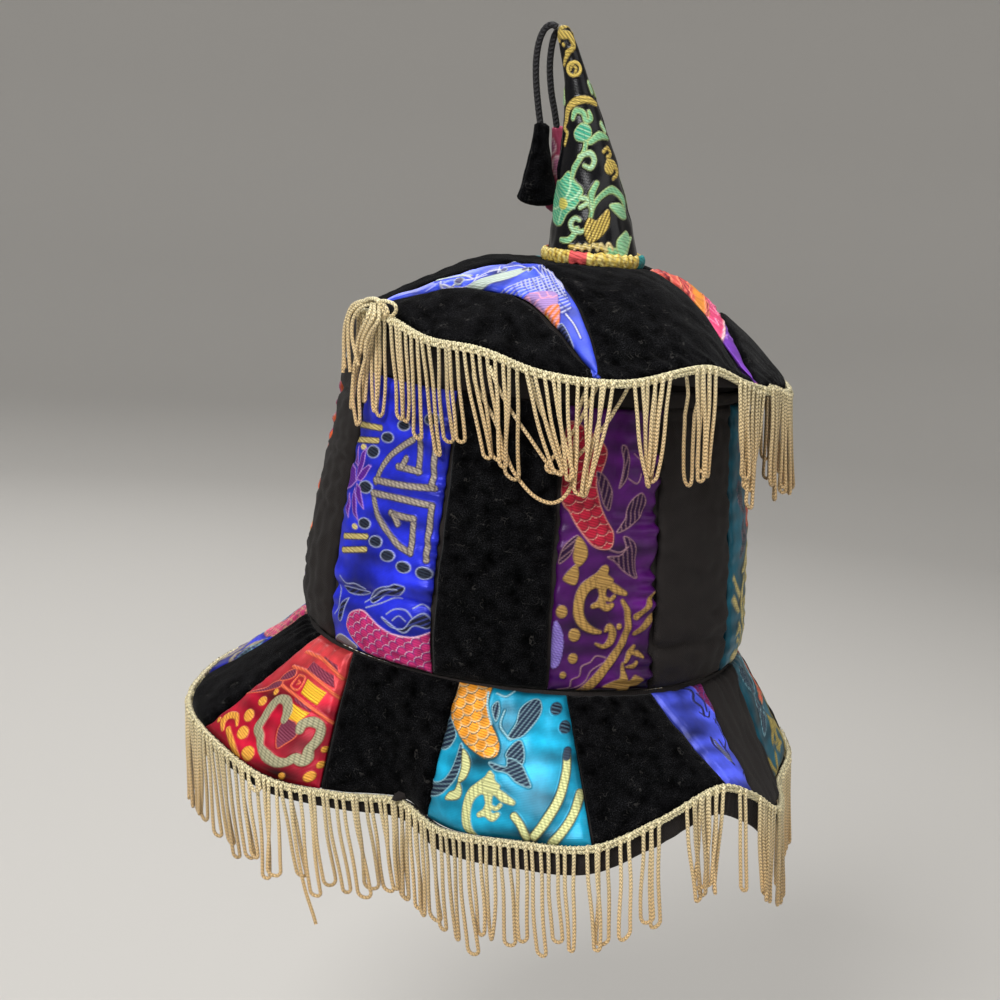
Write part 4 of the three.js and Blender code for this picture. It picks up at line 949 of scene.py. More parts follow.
def pile_group():
    """Brushed velvet pile with painted sheen in broad strokes, and thin curled hairs lying on it."""
    t, start, end = group("velvet pile", "Lint", ("Shade", "Lint", "Height"))
    fine, brushed_painted_sheen = t.noise(start["Place"], 2.2, 2), t.noise(start["Place"], 0.16, 3)
    # Painted sheen: broad brushed strokes lighten the pile's colour, as light catching the nap would.
    strokes = t.math("MAXIMUM", t.times_plus(brushed_painted_sheen, 4.6, -1.2), 0.15)
    t.join(end["Shade"], t.times(t.math("POWER", t.times(fine, 2), 4), strokes))
    curl = t.math("ABSOLUTE", t.math("SUBTRACT", t.noise(start["Place"], 0.3, 1), 0.5))
    few = t.times(t.math("SUBTRACT", t.noise(start["Place"], 0.2, 2), 0.56), 12, clamp=True)
    hair = t.times(t.math("SUBTRACT", 1.0, t.times(curl, 36), clamp=True), few)
    t.join(end["Lint"], t.times(hair, start["Lint"]))
    t.join(end["Height"], t.plus(fine, t.times(t.noise(start["Place"], 0.9, 2), 0.8)))


def chain_group():
    """Chain stitch along a round cord: a row of links, with their legs set at a slant."""
    t, start, end = group("chain stitch", "Pitch")
    x, y = t.apart(start["Place"])
    fold = t.math("PINGPONG", t.math("DIVIDE", x, CORD_ROUND), 0.125)
    step = t.plus(t.math("DIVIDE", y, start["Pitch"]), t.times(fold, 4.8))
    leg = t.math("POWER", t.ridges(step, math.pi), 0.6)
    t.join(end["Shade"], t.times_plus(leg, 0.95, t.times_plus(t.noise(start["Place"], 0.4, 2), 0.3, 0.16)))
    t.join(end["Height"], leg)


def finish_material(
    name, effect, height, roughness, colour=None, sheen=(0.0, 0.3), gloss=0.5, metal=None, pitch=None, lint=None
):
    """A cloth or cord finish that takes its colour and relief from one of the shared effects.

    Without a colour it takes the tint of each point. metal is given for a brocade: how metallic its ground is,
    and how metallic its raised threads are.
    """
    material = bpy.data.materials.new(name)
    material.use_nodes = True
    t = Tree(material.node_tree)
    shader = material.node_tree.nodes["Principled BSDF"]
    work = t.node("Group", node_tree=bpy.data.node_groups[effect])
    t.join(work.inputs["Place"], t.place())
    paint = t.node("VectorMath", operation="SCALE")
    t.join(paint.inputs[0], t.node("Attribute", attribute_name="tint").outputs["Color"] if colour is None else colour)
    t.join(paint.inputs[3], work.outputs["Shade"])
    shown = paint.outputs[0]
    if pitch is not None:
        work.inputs["Pitch"].default_value = pitch
    if lint is not None:
        work.inputs["Lint"].default_value = lint
        shown = t.blend(work.outputs["Lint"], shown, (0.32, 0.3, 0.28, 1))
    t.join(shader.inputs["Base Color"], shown)
    bump = t.node("Bump")
    bump.inputs["Distance"].default_value = height * MM
    bump.inputs["Strength"].default_value = 1.0
    t.join(bump.inputs["Height"], work.outputs["Height"])
    t.join(shader.inputs["Normal"], bump.outputs[0])
    if metal is None:
        shader.inputs["Roughness"].default_value = roughness
    else:
        raised = t.node("Attribute", attribute_name="thread").outputs["Fac"]
        t.join(work.inputs["Thread"], raised)
        t.join(shader.inputs["Roughness"], t.times_plus(raised, 0.12, roughness))
        t.join(shader.inputs["Metallic"], t.times_plus(raised, metal[1] - metal[0], metal[0]))
    shader.inputs["Sheen Weight"].default_value, shader.inputs["Sheen Roughness"].default_value = sheen
    shader.inputs["Specular IOR Level"].default_value = gloss


# Settings
def colour_property(label, hint, colour):
    return bpy.props.FloatVectorProperty(
        name=label, description=hint, default=srgb(*colour), subtype="COLOR", size=3, min=0, max=1,
    )


class HatColours(bpy.types.PropertyGroup):
    """The colours of the hat's cloths and cords."""

    velvet: colour_property("Velvet", "Pile of the plain velvet patches", (10, 10, 11))
    cotton: colour_property("Cotton", "Plain cotton patches", (31, 27, 26))
    lining: colour_property("Lining", "Padded lining and facing", (38, 34, 33))
    blue: colour_property("Royal blue", "Ground of the royal blue brocade", (30, 40, 184))
    purple: colour_property("Purple", "Ground of the purple brocade", (64, 7, 82))
    teal: colour_property("Teal", "Ground of the teal brocade", (8, 86, 106))
    red: colour_property("Crimson", "Ground of the crimson brocade", (172, 14, 44))
    turquoise: colour_property("Turquoise", "Ground of the turquoise brocade", (20, 146, 182))
    violet: colour_property("Violet blue", "Ground of the violet blue brocade", (78, 92, 226))
    orange: colour_property("Orange", "Ground of the orange brocade", (222, 96, 52))
    crown_blue: colour_property("Dome blue", "Ground of the blue crescent on the dome", (60, 82, 226))
    crown_orange: colour_property("Dome orange", "Ground of the orange crescent on the dome", (232, 108, 84))
    crown_teal: colour_property("Dome teal", "Ground of the teal crescent on the dome", (18, 120, 128))
    satin: colour_property("Spire satin", "Ground of the spire's black satin", (9, 9, 13))
    strand: colour_property("Fringe", "Looped cords of the fringes", (206, 173, 123))
    heading: colour_property("Fringe heading", "Twisted heading of the fringes", (232, 220, 176))
    piping: colour_property("Piping", "Cloth round the spire's foot", (230, 200, 92))
    rose: colour_property("Rose", "Brocade of the right drop", (150, 58, 84))
    cord: colour_property("Cord", "Braided cords of the drops", (26, 25, 27))
    floor: colour_property("Floor", "Floor and backdrop", (196, 193, 188))


def length_property(label, hint, value, low, high):
    return bpy.props.FloatProperty(
        name=label, description=hint, default=value, min=low, max=high, unit="LENGTH", precision=5,
    )


class HatSizes(bpy.types.PropertyGroup):
    """The sizes of the parts that are made here and not in the solids."""

    fine: length_property("Fine pitch", "Mesh pitch of the brocades in front", 0.00042, 0.0003, 0.003)
    medium: length_property("Medium pitch", "Mesh pitch of the brocades behind", 0.00105, 0.0005, 0.004)
    coarse: length_property("Coarse pitch", "Mesh pitch of plain patches", 0.0018, 0.0008, 0.006)
    strand: length_property("Strand", "Thickness of a fringe cord", 0.0016, 0.0008, 0.004)
    upper_length: length_property(
        "Upper loops", "Length of the upper loops below the heading's top", 0.045, 0.01, 0.1,
    )
    lower_length: length_property(
        "Lower loops", "Length of the lower loops below the heading's top", 0.043, 0.01, 0.1,
    )
    cord: length_property("Cord", "Thickness of the drops' cords", 0.003, 0.001, 0.008)
    distance: length_property("Camera distance", "From the hat to the camera", 0.85, 0.3, 5)
    upper_loops: bpy.props.IntProperty(
        name="Upper loops", description="Loops in the upper fringe", default=95, min=8, max=300,
    )
    lower_loops: bpy.props.IntProperty(
        name="Lower loops", description="Loops in the lower fringe", default=136, min=8, max=400,
    )


class HatOperator:
    """What the hat's operators share."""

    bl_options = {"REGISTER", "UNDO"}

    @property
    def sizes(self):
        return bpy.context.scene.hat_sizes

    @property
    def colours(self):
        return bpy.context.scene.hat_colours


class HAT_OT_finishes(HatOperator, bpy.types.Operator):
    """Make the cloth and cord materials"""

    bl_idname = "hat.finishes"
    bl_label = "Finishes"

    def execute(self, context):
        c = self.colours
        for build in (threads_group, weave_group, pile_group, chain_group):
            build()
        finish_material("brocade", "brocade threads", 0.16, 0.38, gloss=0.25, metal=(0.14, 0.25))
        finish_material("spire satin", "brocade threads", 0.2, 0.26, gloss=0.3, metal=(0.0, 0.2))
        finish_material("black velvet", "velvet pile", 0.3, 1.0, tuple(c.velvet), (0.05, 0.4), 0.0, lint=0.08)
        finish_material("black cotton", "plain weave", 0.16, 0.7, tuple(c.cotton), (0.02, 0.5), 0.15, pitch=0.55)
        finish_material("lining cotton", "plain weave", 0.12, 0.9, tuple(c.lining), (0.04, 0.5), 0.15, pitch=0.6)
        finish_material("fringe cord", "chain stitch", 0.4, 0.36, sheen=(0.1, 0.3), pitch=1.5)
        finish_material("black cord", "chain stitch", 0.4, 0.6, tuple(c.cord), (0.05, 0.4), 0.3, pitch=1.9)
        return {"FINISHED"}


def cord_piece(name, points, thick, node):
    """A braided cord down to its drop."""
    path = rounded(points)
    path = path[::2] if len(path) % 2 else np.concatenate([path[::2], path[-1:]])
    fine, sides = rounded(path), 12
    tube, faces, corners = tubes(fine[None], thick / 2, np.array([0.3, 1.0, 0.1]), sides)
    first, last, low = len(tube), len(tube) + 1, len(tube) - sides
    caps = [(first, (k + 1) % sides, k) for k in range(sides)]
    caps += [(last, low + k, low + (k + 1) % sides) for k in range(sides)]
    piece = make(
        name, np.concatenate([tube, fine[:1], fine[-1:]]), faces.tolist() + caps, "black cord", (node,),
        corners=np.concatenate([corners, np.zeros((len(caps) * 3, 2))]),
    )


def drop_piece(name, node, cloth, top, foot, turn, colour):
    """A stuffed drop: narrow where its cord enters, with a seam down each side and a rounded foot."""
    start, end, count = np.array(top) + (0, 0, 1.9), np.array(foot), 36
    across = np.array([math.cos(math.radians(turn)), math.sin(math.radians(turn)), 0])
    deep = np.array([-across[1], across[0], 0])
    fall = np.concatenate([np.linspace(0, 0.9, 30), [0.93, 0.96, 0.98, 0.993, 1]])
    share = np.interp(fall, (0, 0.3, 0.7, 0.9, 1), (0, 0.22, 0.7, 1, 0.94))
    foot_close = np.sqrt(np.clip(1 - np.clip((fall - 0.9) / 0.1, 0, 1) ** 2, 0.0004, 1))
    close = foot_close * np.sqrt(np.clip(fall / 0.02, 0.3, 1))
    roll = even_turns(count)
    cos, sin = np.cos(roll), np.sin(roll)
    wide, thick = mix(3, 11, share) * close, mix(2.5, 5.5, share) * close
    seam = 1 - 0.1 * np.exp(-((np.abs(sin) / 0.16) ** 2))
    middle = (start + (end - start) * fall[:, None])[:, None]
    sideways = across * (wide[:, None] * cos * seam)[..., None]
    p = middle + sideways + deep * (thick[:, None] * sin * (0.75 + 0.25 * np.abs(sin)))[..., None]
    arc, level = np.meshgrid(roll * 7, fall * 36)
    p += unit(p - middle) * (0.35 * swell(arc, level, 12, 41) * close[:, None])[..., None]
    w = Weaving(arc - 22, level, colour)
    material, slot = "black velvet", "black_velvet"
    if cloth != "velvet":
        material, slot = "brocade", "rose_brocade"
        for x, y in ((-14, 20), (-4, 28), (8, 16), (16, 28), (-18, 33), (2, 8)):
            w.outlined(w.dot(x, y, 8, 6, x * 9), srgb(176, 110, 140), srgb(206, 168, 176), 0.9)
    caps = [list(range(count)), [(len(fall) - 1) * count + k for k in range(count)][::-1]]
    faces = [f[::-1] for f in grid_faces(len(fall), count, True).tolist()] + caps
    index = np.concatenate([np.array(f) for f in faces])
    corners = np.stack([arc, level], -1).reshape(-1, 2)[index]
    piece = make(name, p, faces, material, (node,), corners=corners, tint=w.tint, thread=w.thread)
    return piece


class HAT_OT_drops(HatOperator, bpy.types.Operator):
    """Make the two braided cords and their stuffed drops"""

    bl_idname = "hat.drops"
    bl_label = "Cords and drops"

    def execute(self, context):
        for side, (cloth, top, foot, turn) in DROPS.items():
            node = "bell_velvet" if side == "left" else "bell_brocade"
            drop = drop_piece(f"drop_{side}", node, cloth, top, foot, turn, tuple(self.colours.rose))
            cord_piece(f"braid_{side}", CORDS[side], self.sizes.cord / MM, f"cord_{side}")
        return {"FINISHED"}


def strip_paint(cloth):
    """The pattern of a strip's brocade."""
    koi = {
        "blue": srgb(196, 44, 112), "purple": srgb(168, 24, 50), "teal": srgb(222, 84, 48), "red": srgb(232, 150, 60),
        "turquoise": srgb(226, 150, 60), "orange": srgb(150, 40, 120),
    }.get(cloth)
    if cloth in ("blue", "red"):
        return lambda w: fret_pattern(w, koi, 1 if cloth == "blue" else -1)
    gold, flip = srgb(176, 138, 76) if cloth == "purple" else STRAW, 1 if cloth in ("purple", "turquoise") else -1
    return lambda w: carp_pattern(w, koi, gold, flip)


class HAT_OT_side(HatOperator, bpy.types.Operator):
    """Make the twelve strips of the side wall and the plain band above them"""

    bl_idname = "hat.side"
    bl_label = "Side wall"

    def execute(self, context):
        for k, (_, _, cloth) in enumerate(STRIPS):
            self.strip(k, cloth)
        self.band()
        return {"FINISHED"}

    def strip(self, k, cloth):
        foot, top = STRIPS[k][:2]
        next_foot, next_top = STRIPS[(k + 1) % len(STRIPS)][:2]
        turn = 360 if k == len(STRIPS) - 1 else 0
        inset = math.degrees(SEAM_GAP / BRIM_RADIUS)
        woven = cloth in BROCADES

        def angle(u, v):
            return mix(mix(foot, top, v) + inset, mix(next_foot, next_top, v) + turn - inset, u)

        def point(u, v):
            height = mix(WALL_FOOT, WALL_TOP - SEAM_GAP, v)
            return wall_point(angle(u, v), wall_radius(height) + WALL_PUFF * fullness(u, v), height)

        def chart(u, v):
            return np.radians(angle(u, v) - angle(0.5, v)) * 95, mix(WALL_FOOT, WALL_TOP, v)

        def relief(u, v, x, y, aside, below):
            folds = 0.35 * swell(x * 0.35, y, 26, 50 + k)
            if cloth == "cotton":
                return folds + 1.5 * self.creases(x, y, 60 + k) + 0.4 * swell(x * 0.6, y, 8, 90 + k)
            if cloth == "velvet":
                return folds + 0.2 * swell(x, y, 16, 70 + k)
            left, right = aside + 60 * (u > 0.5), aside + 60 * (u < 0.5)
            gather = 1.4 if cloth == "purple" else 1.0
            ripple = 0.55 * puckers(y, left, 8.2, 6, 80 + k) + gather * puckers(y + 2, right, 7.4, 14, 180 + k)
            deep = 0.0
            if cloth == "blue":
                crease = -1.9 * np.exp(-(((y - 27.5 - 0.06 * x - 1.2 * np.sin(x / 9)) / 2.1) ** 2))
                deep = crease + 0.9 * np.exp(-(((y - 33 - 0.05 * x) / 4) ** 2))
            if cloth == "purple":
                deep = 1.1 * np.sin((y - 0.15 * x) / 4.4 + 0.8 * np.sin(y / 11)) * np.clip((x + 24) / 40, 0.15, 1)
            return folds + ripple + deep + 0.12 * swell(x, y, 9, 99 + k)

        front = k in (1, 3)
        pitch = self.sizes.fine if front else self.sizes.medium if woven else self.sizes.coarse
        material = "brocade" if woven else f"black {cloth}"
        ground = tuple(getattr(self.colours, cloth))
        cloth_patch(
            f"side_patch_{k + 1:02d}", f"side_strip_{k + 1:02d}_{cloth}", material, point, chart,
            lambda p: p * (1, 1, 0), pitch / MM, relief, strip_paint(cloth) if woven else None, ground,
        )

    def creases(self, x, y, seed):
        """Sideways creases in slack cotton."""
        dice = np.random.default_rng(seed)
        total = 0 * x
        spans = ((-3, 3), (-1.6, 1.0), (1.6, 3.4), (-0.12, 0.12), (0, 6))
        shifts, *rest = [dice.uniform(low, high, 12) for low, high in spans]
        for height, depth, wide, slope, bend in zip(np.arange(9, 116, 9.5) + shifts, *rest):
            crease = depth * np.exp(-(((y - height - slope * x - 0.8 * np.sin(x / 7 + bend)) / wide) ** 2))
            total = total + crease * (0.7 + 0.3 * np.sin(x / 9 + bend * 2))
        return total

    def band(self):
        angles = np.linspace(-180, 180, 361)[:-1]
        top = wall_top(angles)
        v = np.linspace(0, 1, 9)[:, None]
        height = mix(WALL_TOP + SEAM_GAP, top[None], v)
        crumple = 0.3 * swell(angles[None] * 1.6, height, 14, 7)
        fade = np.sqrt(np.clip(4 * v * (1 - v), 0, 1))
        p = wall_point(angles[None] + 0 * v, wall_radius(height) - 0.9 * (1 - fade) + crumple * fade, height)
        lay = np.stack(np.broadcast_arrays(angles[None] * 1.6, height), -1)
        piece = make(
            "side_top_band", p, grid_faces(9, 360, True), "black cotton", ("side_band",), lay=lay,
        )


class HAT_OT_dome(HatOperator, bpy.types.Operator):
    """Make the dome's velvet gores, brocade crescents and velvet puffs"""

    bl_idname = "hat.dome"
    bl_label = "Dome"

    def execute(self, context):
        for k, (middle, cloth) in enumerate(FOLDS):
            self.gore(k, middle + 60)
            self.crescent(k, middle, cloth)
            self.puff(k, middle)
        return {"FINISHED"}

    def gore(self, k, middle):
        def place(u, v):
            out = mix(DOME_HOLE, DOME_RADIUS - 0.3, v)
            half = 60 - crescent_half(out) - math.degrees(1) * SEAM_GAP / out
            return middle + mix(-half, half, u), out

        def point(u, v):
            angle, out = place(u, v)
            return dome_above(angle, out, DOME_PUFF * fullness(u, beyond_spire(out)))

        def chart(u, v):
            angle, out = place(u, v)
            return np.radians(angle - middle) * out, out

        def relief(u, v, x, y, aside, below):
            gather = 1.3 * puckers(x - 0.6 * y, np.clip(DOME_RADIUS - y, 0, 99), 8, 13, 210 + k)
            fade = np.clip((y - 22) / 10, 0, 1)
            return (0.5 * swell(x, y, 34, 200 + k) + 0.2 * swell(x, y, 13, 220 + k) + gather) * fade

        self.lay(f"dome_gore_{k + 1}", f"crown_gore_{k + 1}", "velvet", point, chart, relief)

    def crescent(self, k, middle, cloth):
        def place(u, v):
            turn = (CRESCENT_TIP - 0.5) * np.sin(np.pi / 2 * mix(-1, 1, u))
            inner, outer = crescent_seams(turn)
            return turn, mix(inner + SEAM_GAP, outer - SEAM_GAP, v)

        def point(u, v):
            turn, out = place(u, v)
            return dome_above(middle + turn, out, DOME_PUFF * 0.6 * fullness(u, v))

        def chart(u, v):
            turn, out = place(u, v)
            return np.radians(turn) * 80, out - 25

        def relief(u, v, x, y, aside, below):
            near = np.minimum(np.minimum(v, 1 - v) * 36, 30)
            return 0.35 * swell(x, y, 17, 230 + k) + 0.4 * puckers(x, near, 7.5, 7, 240 + k)

        warm = cloth == "crown_orange"
        self.lay(
            f"dome_crescent_{k + 1}", f"crown_crescent_{k + 1}", cloth, point, chart, relief,
            lambda w: crown_pattern(w, warm),
        )

    def puff(self, k, middle):
        def place(u, v):
            turn = (CRESCENT_TIP - 1.4) * mix(-1, 1, u)
            return turn, mix(crescent_seams(turn)[1] + SEAM_GAP, DOME_RADIUS - 0.3, v)

        def point(u, v):
            turn, out = place(u, v)
            return dome_above(middle + turn, out, DOME_PUFF * fullness(u, v))

        def chart(u, v):
            turn, out = place(u, v)
            return np.radians(turn) * 85, out

        def relief(u, v, x, y, aside, below):
            gather = 1.2 * puckers(x - 0.6 * y, np.minimum(DOME_RADIUS - y, 40), 8, 10, 260 + k)
            return 0.4 * swell(x, y, 22, 250 + k) + gather

        self.lay(f"dome_puff_{k + 1}", f"crown_puff_{k + 1}", "velvet", point, chart, relief)

    def lay(self, name, node, cloth, point, chart, relief, paint=None):
        pitch = self.sizes.coarse
        if paint:
            front = self.sizes.fine * (1.1 if cloth == "crown_blue" else 1.5)
            pitch = self.sizes.medium if name.endswith("3") else front
        cloth_patch(
            name, node, "brocade" if paint else "black velvet", point, chart,
            lambda p: p * 0 + (0, 0, 1), pitch / MM, relief, paint, tuple(getattr(self.colours, cloth)),
        )


class HAT_OT_brim(HatOperator, bpy.types.Operator):
    """Make the sixteen gores of the ruffled brim"""

    bl_idname = "hat.brim"
    bl_label = "Brim"

    def execute(self, context):
        for k, (_, _, cloth) in enumerate(GORES):
            self.gore(k, cloth)
        return {"FINISHED"}

    def gore(self, k, cloth):
        inset = SEAM_GAP / 45
        line = np.linspace(0, 1, 25)
        above, edge = (
            np.linalg.norm(np.diff(brim_point(k + line * 0.999, fall), axis=0), axis=-1).sum() for fall in (0.0, 1.0)
        )
        long = float(np.linalg.norm(brim_point(k + 0.5, 1.0) - brim_point(k + 0.5, 0.0)))
        woven = cloth in BROCADES

        def point(u, v):
            fall = mix(0.004, 0.999, v)
            return brim_point(k + mix(inset, 1 - inset, u), fall)

        def chart(u, v):
            fall = mix(0.004, 0.999, v)
            return (u - 0.5) * mix(above, edge, fall), (1 - fall) * long

        def relief(u, v, x, y, aside, below):
            puff = BRIM_PUFF * fullness(u, v)
            gather = (0.45 if woven else 0.8) * puckers(x, np.maximum(long - y, 0), 8, 11, 300 + k)
            if cloth == "cotton":
                gather = gather + 0.4 * swell(x, y * 0.4, 12, 320 + k)
            drawn = 0.35 * puckers(y, aside, 8, 6, 330 + k) if woven else 0
            return puff + gather + 0.35 * swell(x, y, 21, 310 + k) + drawn

        paints = {
            "red": lambda w: trefoil_pattern(w, srgb(244, 176, 70)),
            "turquoise": lambda w: diving_carp_pattern(w, srgb(236, 152, 40), srgb(222, 224, 158)),
            "violet": narrow_pattern,
            "teal": lambda w: diving_carp_pattern(w, srgb(220, 84, 52), srgb(190, 170, 90), -1),
            "orange": lambda w: trefoil_pattern(w, srgb(250, 206, 90)),
            "purple": lambda w: diving_carp_pattern(w, srgb(200, 40, 60), GOLD),
            "blue": lambda w: diving_carp_pattern(w, srgb(214, 60, 120), SILVER_GOLD, -1),
        }
        pitch = self.sizes.fine if k in (1, 3, 5) else self.sizes.medium if woven else self.sizes.coarse
        cloth_patch(
            f"brim_patch_{k + 1:02d}", f"brim_gore_{k + 1:02d}_{cloth}",
            "brocade" if woven else f"black {cloth}", point, chart, lambda p: unit(p * (1, 1, 0)) + (0, 0, 1),
            pitch / MM, relief, paints.get(cloth), tuple(getattr(self.colours, cloth)),
        )


class HAT_OT_lining(HatOperator, bpy.types.Operator):
    """Make the padded lining inside the crown and brim, and the facing below the brim's edge"""

    bl_idname = "hat.lining"
    bl_label = "Lining"

    def execute(self, context):
        self.side()
        self.crown()
        self.brim()
        self.facing()
        return {"FINISHED"}

    def ring(self, name, nodes, p, lay, flip=False):
        """A closed skin of rings, the last of them on the first."""
        faces = grid_faces(p.shape[0], p.shape[1], True)
        piece = make(name, p, faces[:, ::-1] if flip else faces, "lining cotton", nodes, lay=lay)

    def side(self):
        angles = np.linspace(-180, 180, 361)[:-1]
        top = wall_top(angles)
        share = np.linspace(0, 1, 50)[:, None]
        height = mix(-1.0, top[None], share)
        around = angles[None] * 1.6 + 0 * height
        crumple = 0.45 * swell(around, height * 1.3, 26, 401) + 0.25 * swell(around, height, 9, 402)
        seam = -1.1 * np.exp(-((np.mod(angles[None] + 30, 60) - 30) / 0.9) ** 2)
        fade = np.clip(np.minimum(share, 1 - share) * 14, 0, 1)
        inner = wall_point(
            angles[None] + 0 * height, wall_radius(height) - LINING_BACK - (crumple + seam) * fade * 0.6, height,
        )
        outer = wall_point(angles[None] + 0 * height, wall_radius(height) - LINING_FACE, height)
        p = np.concatenate([outer[::-1][::6], inner])
        lay = np.concatenate([np.stack([around, -height], -1)[::-1][::6], np.stack([around, height], -1)])
        p = np.concatenate([p, p[:1]])
        self.ring("lining_side", ("side_lining",), p, np.concatenate([lay, lay[:1]]), True)

    def crown(self):
        angles = np.linspace(-180, 180, 241)[:-1]
        wall = wall_radius(DOME_SEAM) - 2.4
        across = np.sqrt(wall**2 - (DOME_X * np.cos(np.radians(angles))) ** 2) - DOME_X * np.sin(np.radians(angles))
        share = np.linspace(0.985, 0.02, 50)[:, None]
        out = across[None] * share
        seam = np.exp(-((np.mod(angles[None] + 30, 60) - 30) * out / 60) ** 2)
        turn = np.radians(angles)
        crumple = 0.5 * swell(out * np.sin(turn), out * np.cos(turn), 24, 411)
        inner = dome_above(angles[None] + 0 * out, out, -LINING_BACK + 0.5 * crumple + 0.9 * seam)
        outs = np.linspace(2, 96.5, 14)[:, None]
        outer = dome_above(angles[None] + 0 * outs, outs + 0 * angles[None], -LINING_FACE + 0 * (outs + angles[None]))
        overhang = dome_point(angles, DOME_RADIUS - 3) - (0, 0, 2.8)
        foot = polar(angles, across, 0.0, DOME_X)
        foot[:, 2] = rim_plane(foot[:, 0]) + 0.2
        p = np.concatenate([outer, overhang[None], foot[None], inner])
        lay = np.stack([p[..., 0], p[..., 1]], -1)
        p = np.concatenate([p, p[:1]])
        self.ring("lining_crown", ("crown_lining",), p, np.concatenate([lay, lay[:1]]))

    def brim(self):
        places = np.linspace(0, len(GORES), 545)[:-1]
        fall = np.linspace(0.02, 0.994, 28)[:, None]
        p = brim_point(places[None] + 0 * fall, fall)
        normal = upward(unit(np.cross(np.gradient(p, axis=1), np.gradient(p, axis=0))))
        steps = places[None] * 48 + 0 * fall
        crumple = 0.5 * swell(steps, fall * 60, 18, 421) + 0.5 * puckers(steps, fall * 60, 9, 12, 422)
        outer = p - normal * (LINING_FACE + 0.5)
        inner = p - normal * (LINING_BACK + 0.5 + 0.5 * crumple)[..., None]
        lay = np.stack([steps, fall * 60 + 0 * steps], -1)
        above = gore_angles(places)[0]
        neck, root = polar(above, 96.6, 0.2)[None], polar(above, 93.4, -1.6)[None]
        full = np.concatenate([neck, outer[1::4], outer[-1:], inner[::-1], root, neck])
        self.ring("lining_brim", tuple(f"brim_lining_{k}" for k in (1, 2, 3, 4)), full,
                  np.concatenate([lay[:1], lay[1::4], lay[-1:], lay[::-1], lay[:1], lay[:1]]))

    def facing(self):
        places = np.linspace(0, len(GORES), 961)[:-1]
        _, angle = gore_angles(places)
        out, edge = edge_out(angle), edge_point(angle)
        depth = np.interp(
            angle, (-180, -65, -45, -25, 0, 30, 52, 62, 80, 180), (1, 0.8, 0.75, 0.95, 1.3, 1.45, 1.45, 1.2, 1, 1),
        )
        section = (
            (2.6, 1.0), (1.3, 0.9), (0.5, 1.9), (0.2, 3.6), (0.0, 6), (0.1, 8.4), (0.6, 9.4), (1.4, 9.8), (2.2, 9.4),
            (2.5, 8), (2.6, 5), (2.6, 1.0),
        )
        steps = places * 52
        rows, lay = [], []
        for inwards, down in section:
            wave = 0.3 * puckers(steps, np.full(len(steps), 3.0), 8, 12, 431) * (down > 2)
            lower = np.array([0, 0, 1.0]) * (1 + (down - 1) * depth)[:, None]
            rows.append(edge - out * (inwards + wave)[:, None] - lower)
            lay.append(np.stack([steps, np.full(len(steps), down)], -1))
        self.ring("facing_band", ("brim_facing",), np.array(rows), np.array(lay))


def fringe_loops(count, length, edge, out_at, clear, seed, strand, lean, gap):
    """Paths of the hanging loops: each comes over the heading, hangs down, turns and goes up again."""
    dice = np.random.default_rng(seed)
    middle = (np.arange(count) + 0.5) * 360 / count - 180 + dice.normal(0, 0.08, count) * 360 / count
    fall = length * (1 + dice.normal(0, 0.06, count)) - strand / 2
    bunch = np.cumsum(dice.uniform(0, 1, count) < 0.4)
    gathered = np.array([middle[bunch == b].mean() for b in bunch]) - middle
    middle = middle + np.interp(middle, (8, 20, 52, 62), (0, 0.5, 0.5, 0)) * gathered
    pull = 0.5 if gap[0] < gap[1] else 0.24
    pulled = pull * np.radians(gathered) * np.linalg.norm(edge(middle)[:, :2], axis=1)
    sway = lean(middle) + dice.normal(0, LOOP_SWING, count) + pulled
    width = np.clip(dice.normal(*LOOP_WIDTH[:2], count), *LOOP_WIDTH[2:])
    twist = np.radians(dice.normal(0, LOOP_TWIST, count))
    layer = 0.9 * np.mod(np.arange(count), 2) + dice.uniform(0, 0.6, count)
    hook_fall, hook_off = np.array([1.4, 0.2, 0.4, 1.8]), np.array([0.3, 0.9, 1.9, 2.3])
    down, bend = np.linspace(0, 1, 12), np.linspace(0, np.pi, 11)[1:-1]
    paths = []
    for k in range(count):
        if gap[0] < middle[k] < gap[1]:
            continue
        flat = fall[k] - width[k] / 2
        drop = mix(3.4, flat, down)
        side = np.concatenate([np.full(4, LOOP_FOOT / 2), mix(LOOP_FOOT / 2, width[k] / 2, down**1.5)])
        off = np.concatenate([hook_off, 2.0 + (layer[k] - 0.7) * np.clip(down * 2, 0, 1)])
        drop = np.concatenate([hook_fall, drop])
        x = np.concatenate([-side, -width[k] / 2 * np.cos(bend), side[::-1]])
        drop = np.concatenate([drop, flat + width[k] / 2 * np.sin(bend), drop[::-1]])
        off = np.concatenate([off, np.full(9, off[-1]), off[::-1]])
        share = drop / fall[k]
        rolled = twist[k] * share**2
        off = off + np.abs(x * np.sin(rolled)) * np.sign(x * twist[k]) * 0.8 + 0.2 * np.sin(k * 2.4 + share * 5)
        root = np.clip(x, -LOOP_FOOT / 2, LOOP_FOOT / 2)
        x = x * np.cos(rolled) + sway[k] * share**1.25 + 0.4 * np.sin(share * 6 + k) * np.clip(share * 3 - 0.3, 0, 1)
        angle = middle[k] + np.degrees(root / float(np.linalg.norm(edge(middle[k])[:2])))
        out = out_at(angle)
        along = np.stack([-out[:, 1], out[:, 0], 0 * out[:, 0]], -1)
        p = edge(angle) + along * (x - root)[:, None] + out * off[:, None]
        p[:, 2] -= drop
        p[:, 0] += TILT * np.maximum(drop - 2, 0)
        paths.append(clear(p, 0.9 + layer[k] * 0.8))
    return np.array(paths)


def clear_of_wall(p, off):
    """Moves points out where they would come into the side wall."""
    level = p[:, :2] - (WALL_SHIFT, 0)
    reach = np.linalg.norm(level, axis=1)
    short = np.maximum(wall_radius(p[:, 2]) + WALL_PUFF + 1.2 + off - reach, 0)
    p[:, :2] += level / reach[:, None] * short[:, None]
    return p


